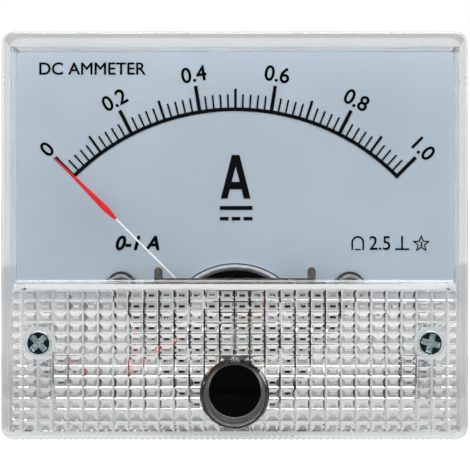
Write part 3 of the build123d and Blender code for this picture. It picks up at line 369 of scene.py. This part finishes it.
def worked_out(tree, operation, *values):
    """What a piece of arithmetic gives for those values."""
    step = tree.nodes.new("ShaderNodeMath")
    step.operation = operation
    for value, socket in zip(values, step.inputs):
        feed(tree, value, socket)
    return step.outputs[0]


def blend_of(tree, way, share, one, other):
    """A colour blended from two: mixed, or one multiplied by the other."""
    blend = tree.nodes.new("ShaderNodeMixRGB")
    blend.blend_type = way
    for value, socket in zip((share, one, other), blend.inputs):
        feed(tree, value, socket)
    return blend.outputs["Color"]


def tones_along(finish, length, tones):
    """Tones the finish's colour along a length, by (millimetres, tone) pairs that start at zero."""
    tree = finish.node_tree
    reach = tones[-1][0]
    stops = [(spot / reach, (tone, tone, tone)) for spot, tone in tones]
    shade = ramp_through(tree, worked_out(tree, "DIVIDE", length, reach * MM), stops)
    base = shader_of(finish).inputs["Base Color"]
    tree.links.new(blend_of(tree, "MULTIPLY", 1, base.links[0].from_socket, shade), base)


def rise_from(finish, level, way="Z"):
    """How far a point is past a level, along one way."""
    split = finish.node_tree.nodes.new("ShaderNodeSeparateXYZ")
    finish.node_tree.links.new(spot_on(finish), split.inputs["Vector"])
    return worked_out(finish.node_tree, "SUBTRACT", split.outputs[way], level)


def from_axis(finish, x, z, mirrored=False):
    """How far a point is from the depth axis at (x, z), or from the nearer of a mirrored pair."""
    tree = finish.node_tree
    if mirrored:
        from_middle = worked_out(tree, "ABSOLUTE", rise_from(finish, 0, "X"))
        across = worked_out(tree, "SUBTRACT", from_middle, x)
    else:
        across = rise_from(finish, x, "X")
    aside = tree.nodes.new("ShaderNodeCombineXYZ")
    tree.links.new(across, aside.inputs["X"])
    tree.links.new(rise_from(finish, z), aside.inputs["Z"])
    reach = tree.nodes.new("ShaderNodeVectorMath")
    reach.operation = "LENGTH"
    tree.links.new(aside.outputs["Vector"], reach.inputs[0])
    return reach.outputs["Value"]


ring_low, ring_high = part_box("yoke_ring")
ring_radius_mm = (ring_high.x - ring_low.x) / 2 / MM
ring_bore_mm = ring_radius_mm - RING_RIM_MM
nickel = metal("nickel_plate", dark=(0.66, 0.67, 0.68), light=(0.82, 0.83, 0.84), grain=1.1 * MM,
               roughness=(0.14, 0.26))
# The ring is painted near-black in its bore, as painted shade, fading to the nickel 0.15 mm out.
tones_along(nickel, from_axis(nickel, (ring_low.x + ring_high.x) / 2, (ring_low.z + ring_high.z) / 2),
            ((0, 0.03), (ring_bore_mm, 0.03), (ring_bore_mm + RING_RIM_FADE_MM, 1), (ring_radius_mm, 1)))
coat(nickel, "yoke_ring")
magnet = metal("ground_magnet", dark=(0.03, 0.03, 0.032), light=(0.08, 0.08, 0.084), grain=0.6 * MM,
               roughness=(0.35, 0.55))
coat(magnet, "core_magnet")
pale_brass = metal("pale_brass", dark=(0.34, 0.31, 0.25), light=(0.55, 0.51, 0.43), grain=0.9 * MM,
                   roughness=(0.18, 0.34))
coat(pale_brass, "core_spacers")
aluminium = metal("drawn_aluminium", dark=(0.66, 0.67, 0.68), light=(0.84, 0.85, 0.86), grain=0.5 * MM,
                  roughness=(0.25, 0.4))
coat(aluminium, "coil_former")

copper = new_finish("enamelled_wire")
copper_tree = copper.node_tree
turned_spot = copper_tree.nodes.new("ShaderNodeMapping")
turned_spot.inputs["Rotation"].default_value = (0, COIL_TURN, 0)
copper_tree.links.new(spot_on(copper), turned_spot.inputs["Vector"])
turns = copper_tree.nodes.new("ShaderNodeTexWave")
turns.bands_direction = "X"
turns.inputs["Scale"].default_value = 2 * math.pi / (WAVE_RADIANS * WIRE)
copper_tree.links.new(turned_spot.outputs["Vector"], turns.inputs["Vector"])
# The wave bands paint shade on the sides of each turn and leave its top the wire's own colour.
wire_painted_shading = shade_between(copper_tree, turns.outputs["Fac"], WIRE_SIDE_PAINTED_SHADE, WIRE_TOP, 0, WIRE_TOP_FROM)
copper_tree.links.new(wire_painted_shading, shader_of(copper).inputs["Base Color"])
shader_of(copper).inputs["Metallic"].default_value = COPPER_METALLIC
shader_of(copper).inputs["Roughness"].default_value = COPPER_ROUGHNESS
dent(copper, turns.outputs["Fac"], COPPER_RELIEF)
coat(copper, "coil_winding")

coat(steel, "front_staff", "rear_staff")
bronze = metal("spring_bronze", dark=(0.45, 0.24, 0.10), light=(0.66, 0.40, 0.18), grain=0.4 * MM,
               roughness=(0.2, 0.35))
coat(bronze, "front_hairspring", "rear_hairspring")

# Bridges: stamped plates on brass pillars that hold the jewel screws. The front one is blackened,
# and its bar and lugs stop the pointer; the chassis plate under it is blackened too. The bar is
# toned darker than the lugs, which stand above it.
BRIDGE_TONES_FROM = -7.95 * MM
BRIDGE_TONES = ((0, 0.3), (3.9, 0.3), (4.05, 1), (8, 1))
bridge_black_toned = metal("bridge_black_steel_toned_by_height", dark=(0.09, 0.088, 0.08), light=(0.22, 0.21, 0.19), grain=0.7 * MM,
                   roughness=(0.35, 0.55))
# The plate is toned to 0.3 up to 3.9 mm above its low level and left full above 4.05 mm, so the bar is
# darker than the lugs.
tones_along(bridge_black_toned, rise_from(bridge_black_toned, BRIDGE_TONES_FROM), BRIDGE_TONES)
coat(bridge_black_toned, "front_bridge")
black_steel = metal("blackened_steel", dark=(0.03, 0.029, 0.026), light=(0.08, 0.075, 0.064), grain=0.7 * MM,
                    roughness=(0.35, 0.55))
coat(black_steel, "chassis_plate")
satin = metal("satin_aluminium", dark=(0.55, 0.56, 0.57), light=(0.74, 0.75, 0.76), grain=0.9 * MM,
              roughness=(0.3, 0.45))
coat(satin, "rear_bridge")
coat(pale_brass, "front_pillars", "rear_pillars", "front_jewel_screw", "rear_jewel_screw", "jewel_nuts",
     "rear_spring_tag")
coat(steel, "zero_lever", "front_bridge_screws", "rear_bridge_screws")
pin_steel = metal("stop_pin_steel", dark=(0.12, 0.12, 0.10), light=(0.22, 0.21, 0.18), grain=0.4 * MM,
                  roughness=(0.3, 0.5))
coat(pin_steel, "stop_pins")

# Leads: stranded wire in soft insulation with a dull shine, red from the front bridge and black
# from the rear one. Each ends in the solder on a tag.
for node, name, dark, light in (
        ("red_lead", "red_insulation", (0.50, 0.035, 0.012), (0.66, 0.06, 0.02)),
        ("black_lead", "black_insulation", (0.008, 0.008, 0.008), (0.02, 0.02, 0.02))):
    coat(grained(name, dark, light, grain=0.6 * MM, roughness=(0.4, 0.55), relief=0.01 * MM), node)

# Solder: a bright drop on each tag's tip, melted round the end of its lead. It sets a little
# lopsided, and no two drops are alike.
SOLDER_HALF = (0.95 * MM, 0.75 * MM, 1.15 * MM)
SOLDER_LEAN = 0.25
SOLDER_RISE_SHARE = 0.8
SOLDER_SEED = 7
solder_tin = metal("solder_tin", dark=(0.42, 0.42, 0.43), light=(0.60, 0.60, 0.61), grain=0.5 * MM,
                   roughness=(0.22, 0.4))
drops = bmesh.new()
drop_seed = random.Random(SOLDER_SEED)
for drop_x in bolt_xs:
    first = len(drops.verts)
    bmesh.ops.create_icosphere(drops, subdivisions=3, radius=1)
    drops.verts.ensure_lookup_table()
    lean = [drop_seed.uniform(-SOLDER_LEAN, SOLDER_LEAN) for _ in range(3)]
    for vertex in drops.verts[first:]:
        sag = 1 + lean[0] * vertex.co.x * vertex.co.z + lean[1] * vertex.co.x + lean[2] * vertex.co.z ** 3
        vertex.co = Vector(share * half * sag for share, half in zip(vertex.co, SOLDER_HALF))
        vertex.co += Vector((drop_x, tag_low.y, tag_low.z + SOLDER_HALF[2] * SOLDER_RISE_SHARE))
piece_from("solder_drops", mesh_from("solder_drops", drops), solder_tin, "housing")

# Dial: an aluminium plate with a pale blue-grey stoved enamel on its front and bare metal behind.
# The enamel clouds a little, and has a fine orange peel. The scale's arc and marks are black ink.
ENAMEL = (0.420, 0.492, 0.560)
ENAMEL_WORN = (0.392, 0.462, 0.530)
ENAMEL_CLOUD = 14 * MM
ENAMEL_PEEL = 0.35 * MM
ENAMEL_RELIEF = 0.006 * MM
ENAMEL_ROUGHNESS = 0.45
ENAMEL_DEPTH = 0.3 * MM
ENAMEL_EDGE = 0.05 * MM
BARE_BACK = (0.70, 0.71, 0.72, 1)
INK_SPECULAR = 0.03
INK_FLOW = 0.025 * MM
dial_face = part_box("dial_plate")[0].y
enamel = new_finish("dial_enamel")
enamel_tree = enamel.node_tree
painted = shade_between(enamel_tree, speckle(enamel, ENAMEL_CLOUD, detail=2), ENAMEL_WORN, ENAMEL)
behind_face = rise_from(enamel, dial_face, "Y")
bare = span_between(enamel_tree, behind_face, 0, 1, ENAMEL_DEPTH, ENAMEL_DEPTH + ENAMEL_EDGE)
plate_tint = blend_of(enamel_tree, "MIX", bare, painted, BARE_BACK)
enamel_tree.links.new(plate_tint, shader_of(enamel).inputs["Base Color"])
enamel_tree.links.new(bare, shader_of(enamel).inputs["Metallic"])
shader_of(enamel).inputs["Roughness"].default_value = ENAMEL_ROUGHNESS
dent(enamel, speckle(enamel, ENAMEL_PEEL, detail=2), ENAMEL_RELIEF)
coat(enamel, "dial_plate")

ink = grained("printing_ink", dark=(0.001, 0.001, 0.001), light=(0.003, 0.003, 0.004), grain=0.2 * MM,
              roughness=0.5, relief=0.004 * MM)
shader_of(ink).inputs["Specular IOR Level"].default_value = INK_SPECULAR
coat(ink, "scale_marks")
spread_marks = nodes_of["scale_marks"].modifiers.new("ink_flow", "DISPLACE")
spread_marks.mid_level = 0
spread_marks.strength = INK_FLOW

# Print on the dial: one film of ink, which spreads a little. It gives the scale's numbers, the unit
# and the kind of current, then the usual signs for movement, class, position and test voltage, and
# a legend each for the kind of meter and its range.
INK_THICK = 0.05 * MM
INK_SPREAD = 0.045 * MM
INK_STRIKES = 8
LETTER_STEPS = 8
NUMBERS = ("0", "0.2", "0.4", "0.6", "0.8", "1.0")
NUMBER_HEIGHT = 2.2 * MM
NUMBER_CIRCLE = 37.6 * MM
NUMBER_NARROW_SHARE = 0.99
SCALE_SWEEP = math.radians(90)
FACING_FRONT = Matrix.Rotation(math.radians(90), 4, "X")
magnet_low, magnet_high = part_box("core_magnet")
pivot_x = (magnet_low.x + magnet_high.x) / 2
pivot_z = (magnet_low.z + magnet_high.z) / 2


def on_dial(mesh, name, x, z, turn=0):
    """Prints a flat mesh on the dial at (x, z), turned clockwise."""
    place = Matrix.Translation((x, dial_face - INK_THICK / 2, z)) @ FACING_FRONT
    mesh.transform(place @ Matrix.Rotation(-turn, 4, "Z"))
    return piece_from(name, mesh, ink, "housing")


def filled(curve, name):
    """The mesh of a flat curve, one unit thick, centred on its own middle."""
    curve.extrude = 1 / 2
    holder = put_in(name, curve)
    bpy.context.view_layer.update()
    seen = holder.evaluated_get(bpy.context.evaluated_depsgraph_get())
    mesh = bpy.data.meshes.new_from_object(seen)
    bpy.data.objects.remove(holder)
    bpy.data.curves.remove(curve)
    return mesh


def lettering(words, height, width=None, slant=0.0, spread=INK_SPREAD):
    """Words as a film of ink, centred, as tall as height, and as wide as width if that is given."""
    curve = bpy.data.curves.new(words, "FONT")
    curve.body = words
    curve.shear = slant
    curve.resolution_u = LETTER_STEPS
    mesh = filled(curve, "words")
    lows = [min(vertex.co[axis] for vertex in mesh.vertices) for axis in range(2)]
    highs = [max(vertex.co[axis] for vertex in mesh.vertices) for axis in range(2)]
    tall = (height - 2 * spread) / (highs[1] - lows[1])
    wide = (width - 2 * spread) / (highs[0] - lows[0]) if width else tall * NUMBER_NARROW_SHARE
    centre = Matrix.Translation((-(lows[0] + highs[0]) / 2, -(lows[1] + highs[1]) / 2, 0))
    mesh.transform(Matrix.Diagonal((wide, tall, INK_THICK, 1)) @ centre)
    thick = bmesh.new()
    for strike in range(INK_STRIKES):
        angle = 2 * math.pi * strike / INK_STRIKES
        first = len(thick.verts)
        thick.from_mesh(mesh)
        thick.verts.ensure_lookup_table()
        aside = (spread * math.cos(angle), spread * math.sin(angle), 0)
        bmesh.ops.translate(thick, vec=aside, verts=thick.verts[first:])
    thick.to_mesh(mesh)
    thick.free()
    return mesh


def ink_shape(name, outlines, x, z):
    """Prints outlines, given in metres about (x, z); an outline inside another is bare."""
    curve = bpy.data.curves.new(name, "CURVE")
    curve.dimensions = "2D"
    curve.fill_mode = "BOTH"
    for outline in outlines:
        line = curve.splines.new("POLY")
        line.points.add(len(outline) - 1)
        for point, (across, up) in zip(line.points, outline):
            point.co = (across, up, 0, 1)
        line.use_cyclic_u = True
    mesh = filled(curve, name)
    mesh.transform(Matrix.Diagonal((1, 1, INK_THICK, 1)))
    return on_dial(mesh, name, x, z)


def bar(width, height, x=0, z=0):
    """The outline of a straight bar centred at (x, z)."""
    return [(x - width / 2, z - height / 2), (x + width / 2, z - height / 2),
            (x + width / 2, z + height / 2), (x - width / 2, z + height / 2)]


for index, number in enumerate(NUMBERS):
    swing = SCALE_SWEEP * (index / (len(NUMBERS) - 1) - 1 / 2)
    on_dial(lettering(number, NUMBER_HEIGHT), "dial_number_" + number.replace(".", "_"),
            pivot_x + NUMBER_CIRCLE * math.sin(swing), pivot_z + NUMBER_CIRCLE * math.cos(swing), swing)

UNIT_X = 0.03 * MM
UNIT_MIDDLE_Z = 10.33 * MM
UNIT_HEIGHT = 6.17 * MM
UNIT_HALF_FOOT = 2.1 * MM
UNIT_HALF_APEX = 0.54 * MM
UNIT_LEG = 0.95 * MM
UNIT_BAR_LOW = 1.31 * MM
UNIT_BAR_HIGH = 2.37 * MM
UNIT_LEAN = (UNIT_HALF_FOOT - UNIT_HALF_APEX) / UNIT_HEIGHT


def leg_inside(up):
    """How far the inner edge of the unit's leg is from its middle, at a height above its foot."""
    return UNIT_HALF_FOOT - UNIT_LEG - UNIT_LEAN * up


low_inside, high_inside = leg_inside(UNIT_BAR_LOW), leg_inside(UNIT_BAR_HIGH)
window_top = leg_inside(0) / UNIT_LEAN
unit_letter = [(-UNIT_HALF_FOOT, 0), (-UNIT_HALF_APEX, UNIT_HEIGHT), (UNIT_HALF_APEX, UNIT_HEIGHT),
               (UNIT_HALF_FOOT, 0), (leg_inside(0), 0), (low_inside, UNIT_BAR_LOW),
               (-low_inside, UNIT_BAR_LOW), (-leg_inside(0), 0)]
unit_window = [(-high_inside, UNIT_BAR_HIGH), (high_inside, UNIT_BAR_HIGH), (0, window_top)]
ink_shape("dial_unit", [unit_letter, unit_window], UNIT_X, UNIT_MIDDLE_Z - UNIT_HEIGHT / 2)

CURRENT_X = 0.1 * MM
CURRENT_Z = 5.93 * MM
CURRENT_WIDTH = 4.6 * MM
CURRENT_BAR = 0.57 * MM
CURRENT_DASH_BAR = 0.88 * CURRENT_BAR
CURRENT_DASH = 1.23 * MM
CURRENT_DROP = 1.52 * MM
dash_step = (CURRENT_WIDTH - CURRENT_DASH) / 2
dashes = [bar(CURRENT_DASH, CURRENT_DASH_BAR, step * dash_step, -CURRENT_DROP) for step in (-1, 0, 1)]
ink_shape("dial_direct_current", [bar(CURRENT_WIDTH, CURRENT_BAR)] + dashes, CURRENT_X, CURRENT_Z)

SIGN_STROKE = 0.24 * MM
SIGN_HEIGHT = 1.98 * MM
SIGN_MIDDLE_Z = 0.99 * MM
COIL_SIGN_X, CLASS_SIGN_X, UPRIGHT_SIGN_X, TEST_SIGN_X = 17.24 * MM, 20.35 * MM, 23.5 * MM, 26.2 * MM
COIL_SIGN_RADIUS = 0.9 * MM
COIL_SIGN_CORE = 0.9 * COIL_SIGN_RADIUS
COIL_SIGN_CORE_STROKE = 0.7 * SIGN_STROKE
ARCH_STEPS = 14
foot_z = -SIGN_HEIGHT / 2


def arch(radius):
    """An arch as tall as the signs: up its right leg, over a half circle and down its left leg."""
    turns = [math.pi * step / ARCH_STEPS for step in range(ARCH_STEPS + 1)]
    middle = SIGN_HEIGHT / 2 - COIL_SIGN_RADIUS
    over = [(radius * math.cos(angle), middle + radius * math.sin(angle)) for angle in turns]
    return [(radius, foot_z)] + over + [(-radius, foot_z)]


coil_sign = arch(COIL_SIGN_RADIUS) + arch(COIL_SIGN_RADIUS - SIGN_STROKE)[::-1]
coil_core = bar(COIL_SIGN_CORE, COIL_SIGN_CORE_STROKE, 0, foot_z + COIL_SIGN_CORE_STROKE / 2)
ink_shape("dial_sign_coil", [coil_sign, coil_core], COIL_SIGN_X, SIGN_MIDDLE_Z)
on_dial(lettering("2.5", SIGN_HEIGHT, width=2.95 * MM, spread=0.015 * MM), "dial_sign_class", CLASS_SIGN_X,
        SIGN_MIDDLE_Z)

UPRIGHT_HALF_FOOT = 0.975 * MM
half_stroke = SIGN_STROKE / 2
foot_top = foot_z + SIGN_STROKE
ink_shape("dial_sign_upright",
          [[(-UPRIGHT_HALF_FOOT, foot_z), (UPRIGHT_HALF_FOOT, foot_z), (UPRIGHT_HALF_FOOT, foot_top),
            (half_stroke, foot_top), (half_stroke, -foot_z), (-half_stroke, -foot_z),
            (-half_stroke, foot_top), (-UPRIGHT_HALF_FOOT, foot_top)]],
          UPRIGHT_SIGN_X, SIGN_MIDDLE_Z)

STAR_POINTS = 5
STAR_RADIUS = 1.3 * MM
STAR_STROKE = 0.42 * MM
STAR_WAIST_SHARE = 0.44
STAR_LOWER = 0.12 * MM
TEST_LOWER = 0.15 * MM


def star(radius):
    """A five-pointed star's outline."""
    reaches = (radius, radius * STAR_WAIST_SHARE)
    corners = [(reaches[corner % 2], math.pi * corner / STAR_POINTS) for corner in range(2 * STAR_POINTS)]
    return [(reach * math.sin(angle), reach * math.cos(angle)) for reach, angle in corners]


ink_shape("dial_sign_star", [star(STAR_RADIUS), star(STAR_RADIUS - STAR_STROKE)], TEST_SIGN_X,
          SIGN_MIDDLE_Z - STAR_LOWER)
on_dial(lettering("2", 0.62 * MM, width=0.4 * MM), "dial_sign_test", TEST_SIGN_X, SIGN_MIDDLE_Z - TEST_LOWER)

on_dial(lettering("DC AMMETER", 1.75 * MM, width=15.0 * MM, spread=0.03 * MM), "dial_legend_kind",
        x=-20.15 * MM, z=25.58 * MM)
on_dial(lettering("0-1 A", 2.1 * MM, width=6.2 * MM, slant=0.25, spread=0.09 * MM), "dial_legend_range",
        x=-13.8 * MM, z=SIGN_MIDDLE_Z)

# Dial screws: domed steel heads with nickel plate and a cross recess, which clamp the dial and the
# chassis on the case's posts. Each dome is painted dark round its recess and at its rim: a painted dark
# reflection.
DOME_PAINTED_REFLECTION_TONES = ((0, 0.1), (0.95, 0.12), (1.2, 0.9), (1.65, 1), (1.74, 0.15), (2, 0.1))
bright_nickel = metal("bright_nickel", dark=(0.50, 0.51, 0.53), light=(0.66, 0.67, 0.69), grain=0.8 * MM,
                      roughness=(0.08, 0.16))
screw_low, screw_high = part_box("dial_screws")
dome_x = screw_high.x - (screw_high.z - screw_low.z) / 2
dome_z = (screw_low.z + screw_high.z) / 2
# Painted dark reflection: the dome is toned dark round its recess and at its rim, bright between.
tones_along(bright_nickel, from_axis(bright_nickel, dome_x, dome_z, mirrored=True), DOME_PAINTED_REFLECTION_TONES)
coat(bright_nickel, "dial_screws")

# Pointer: a fine aluminium tube lacquered white, with a red blade pinched on its end. It rides on
# the coil, with the hub, arms and brass weights that balance it.
white = grained("white_lacquer", dark=(0.72, 0.73, 0.74), light=(0.85, 0.86, 0.87), grain=0.5 * MM,
                roughness=0.3, relief=0.004 * MM)
red = grained("red_lacquer", dark=(0.62, 0.012, 0.018), light=(0.78, 0.02, 0.026), grain=0.7 * MM,
              roughness=0.25, relief=0.004 * MM)
coat(white, "pointer_tube")
coat(red, "pointer_blade")
coat(aluminium, "pointer_hub", "balance_arms")
coat(brass, "balance_weights")

# Front cover: clear polystyrene in one piece. The window is polished, the block under it has a
# waffle of grooves that hides the movement, and the adjuster's well is matt, with a painted grey
# shade on its wall and a painted shadow line at its rim. The lower part of the block is painted
# darker, as painted shade.
WELL_BELOW_HEAD = 0.45 * MM
WELL_RADIUS = 4.4 * MM
WELL_MATT_FADE = 0.1 * MM
WELL_PAINTED_SHADE_FADE = 0.05 * MM
WELL_ROUGHNESS = 0.32
WELL_PAINTED_SHADE = (0.62, 0.62, 0.63, 1)
WELL_RIM_RADIUS = 4.32 * MM
WELL_RIM_LINE = 0.09 * MM
WELL_RIM_PAINTED_SHADE = (0.004, 0.004, 0.004, 1)
COVER_PAINTED_SHADE_TONES = ((0, 1), (1.1, 1), (1.6, 0.7), (7, 0.72), (12, 0.94), (15, 1), (56, 1))
head_low, head_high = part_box("zero_adjuster")
cover_styrene = clear_styrene("cover_styrene", roughness=0)
cover_tree = cover_styrene.node_tree
cover_tint = shader_of(cover_styrene).inputs["Base Color"]
well_reach = from_axis(cover_styrene, 0, (head_low.z + head_high.z) / 2 - WELL_BELOW_HEAD)
matt = span_between(cover_tree, well_reach, WELL_ROUGHNESS, 0, WELL_RADIUS, WELL_RADIUS + WELL_MATT_FADE)
cover_tree.links.new(matt, shader_of(cover_styrene).inputs["Roughness"])
# The well's wall is tinted grey as painted shade, and a thin near-black ring at its rim is a painted shadow
# line.
well_painted_shade = span_between(cover_tree, well_reach, 1, 0, WELL_RADIUS, WELL_RADIUS + WELL_PAINTED_SHADE_FADE)
painted_rim_line = worked_out(cover_tree, "COMPARE", well_reach, WELL_RIM_RADIUS, WELL_RIM_LINE)
for share, tint in ((well_painted_shade, WELL_PAINTED_SHADE), (painted_rim_line, WELL_RIM_PAINTED_SHADE)):
    tinted = blend_of(cover_tree, "MIX", share, cover_tint.links[0].from_socket, tint)
    cover_tree.links.new(tinted, cover_tint)
# Painted shade: from 1.6 mm to about 12 mm above its foot the cover is toned darker.
tones_along(cover_styrene, rise_from(cover_styrene, cad_low.z), COVER_PAINTED_SHADE_TONES)
coat(cover_styrene, "front_cover")
part_clear_faces("front_cover")

# Cover screws: zinc-plated pan heads, sunk in their pockets, which hold the cover on the case. The
# face of each head is painted near-black, a painted dark reflection, and its cross recess has a bluish
# glint; from 0.6 mm behind the face, the recess floor with it, the head is painted a little darker as
# painted shade.
HEAD_PAINTED_DARK_TONES = ((0, 0.03), (0.03, 0.04), (0.05, 1), (0.45, 1), (0.6, 0.75), (1, 0.7))
HEAD_EDGE = 0.12 * MM
head_zinc = metal("head_zinc", dark=(0.50, 0.66, 0.72), light=(0.86, 0.95, 0.97), grain=0.4 * MM,
                  roughness=(0.2, 0.36), relief=0.1 * MM)
# Painted dark reflection on each head's face, and painted shade from 0.6 mm behind it.
tones_along(head_zinc, rise_from(head_zinc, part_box("cover_screws")[0].y, "Y"), HEAD_PAINTED_DARK_TONES)
coat(head_zinc, "cover_screws")
ease_edges("cover_screws", HEAD_EDGE)

# Zero adjuster: a head of black moulded plastic in its well. It turns in the cover's floor, where
# a steel clip holds it from behind.
BLACK_SPECULAR = 0.02
black = grained("black_plastic", dark=(0.0005, 0.0005, 0.0005), light=(0.0015, 0.0015, 0.0015),
                grain=0.25 * MM, roughness=0.5, relief=0.01 * MM)
shader_of(black).inputs["Specular IOR Level"].default_value = BLACK_SPECULAR
coat(black, "zero_adjuster")
coat(steel, "adjuster_clip")

# Room: a pale table top under the meter, a white surround and three soft lamps. The camera sees it
# white. What metal and clear plastic show of it darkens towards the side that the dial faces, as
# an unlit room does.
TABLE_HALF = 2.0
TABLE_AHEAD = 0.08
SEEN_SHARE = 0.8
SEEN_IN_PLASTIC = 0.6
WORLD_LEVEL = 0.8
ROOM_TONES = ((0, 0.02), (10, 0.02), (13, 0.38), (20, 0.52), (45, 0.54), (80, 0.86))


def looking(tree, through):
    """Whether a ray only looks, and the level it sees: white for the camera, else through."""
    rays = tree.nodes.new("ShaderNodeLightPath").outputs
    bent = worked_out(tree, "MAXIMUM", rays["Is Glossy Ray"], rays["Is Transmission Ray"])
    looks = worked_out(tree, "MAXIMUM", rays["Is Camera Ray"], bent)
    return looks, worked_out(tree, "MAXIMUM", rays["Is Camera Ray"], through)


def soft_lamp(name, place, size, power):
    """A square soft box that faces the meter, and lights it without being seen."""
    lamp = bpy.data.lights.new(name, "AREA")
    lamp.shape = "SQUARE"
    lamp.size = size
    lamp.energy = power
    holder = put_in(name, lamp)
    holder.location = place
    holder.rotation_euler = (-Vector(place)).to_track_quat("-Z", "Y").to_euler()
    holder.visible_camera = False
    holder.visible_transmission = False


table_mesh = bpy.data.meshes.new("table_top")
table_level = cad_low.z
table_mesh.from_pydata([(-TABLE_HALF, -TABLE_AHEAD, table_level), (TABLE_HALF, -TABLE_AHEAD, table_level),
                        (TABLE_HALF, TABLE_HALF, table_level), (-TABLE_HALF, TABLE_HALF, table_level)],
                       [], [(0, 1, 2, 3)])
table_top = put_in("table_top", table_mesh)
paper = grained("white_paper", dark=(0.90, 0.90, 0.90), light=(0.93, 0.93, 0.93), grain=5 * MM,
                roughness=0.9, relief=0)
paper_tree = paper.node_tree
paper_glow = paper_tree.nodes.new("ShaderNodeEmission")
paper_looks, paper_level = looking(paper_tree, SEEN_IN_PLASTIC)
paper_tree.links.new(paper_level, paper_glow.inputs["Strength"])
mix_surfaces(paper_tree, span_between(paper_tree, paper_looks, 0, SEEN_SHARE),
             shader_of(paper).outputs["BSDF"], paper_glow.outputs["Emission"])
table_mesh.materials.append(paper)


def turned_away(degrees):
    """How far a direction has turned away from straight ahead, from 0 to 2 for the way back."""
    return 1 - math.cos(math.radians(degrees))


world = bpy.data.worlds.new("white_surround")
bpy.context.scene.world = world
world.use_nodes = True
world_tree = world.node_tree
surround = world_tree.nodes["Background"]
surround.inputs["Color"].default_value = (1, 1, 1, 1)
most_turned = turned_away(ROOM_TONES[-1][0])
room_place = world_tree.nodes.new("ShaderNodeTexCoord")
room_way = world_tree.nodes.new("ShaderNodeSeparateXYZ")
world_tree.links.new(room_place.outputs["Generated"], room_way.inputs["Vector"])
room_turn = span_between(world_tree, room_way.outputs["Y"], 0, 1, -1, most_turned - 1)
room_stops = [(turned_away(degrees) / most_turned, (tone, tone, tone)) for degrees, tone in ROOM_TONES]
room_looks, room_level = looking(world_tree, ramp_through(world_tree, room_turn, room_stops))
room_strength = span_between(world_tree, room_looks, WORLD_LEVEL, room_level)
world_tree.links.new(room_strength, surround.inputs["Strength"])

soft_lamp("lamp_above", place=(0.05, -0.16, 0.3), size=0.3, power=2.0)
soft_lamp("lamp_left", place=(-0.45, -0.35, 0.2), size=0.4, power=1.2)
soft_lamp("lamp_right", place=(0.5, -0.3, 0.25), size=0.4, power=1.4)

# Camera: straight on, about a quarter of a metre in front of the face and a little right of its
# middle, with the small shift that frames the meter as in the photograph.
CAMERA_RIGHT = 3.74 * MM
CAMERA_UP = 0.99 * MM
CAMERA_AHEAD = 262.5 * MM
CAMERA_SENSOR = 36
CAMERA_LENS = 139.8
CAMERA_SHIFT = (-0.0574, 0.017)
CAMERA_NEAREST = 0.01
MOST_BOUNCES, GLOSSY_BOUNCES, CLEAR_BOUNCES = 32, 24, 28
camera_data = bpy.data.cameras.new("camera")
camera_data.sensor_width = CAMERA_SENSOR
camera_data.lens = CAMERA_LENS
camera_data.shift_x, camera_data.shift_y = CAMERA_SHIFT
camera_data.clip_start = CAMERA_NEAREST
camera = put_in("camera", camera_data)
camera.location = (CAMERA_RIGHT, -CAMERA_AHEAD, CAMERA_UP)
camera.rotation_euler = (math.radians(90), 0, 0)
bpy.context.scene.camera = camera
bpy.context.scene.view_settings.view_transform = "Standard"
bpy.context.scene.cycles.max_bounces = MOST_BOUNCES
bpy.context.scene.cycles.glossy_bounces = GLOSSY_BOUNCES
bpy.context.scene.cycles.transmission_bounces = CLEAR_BOUNCES
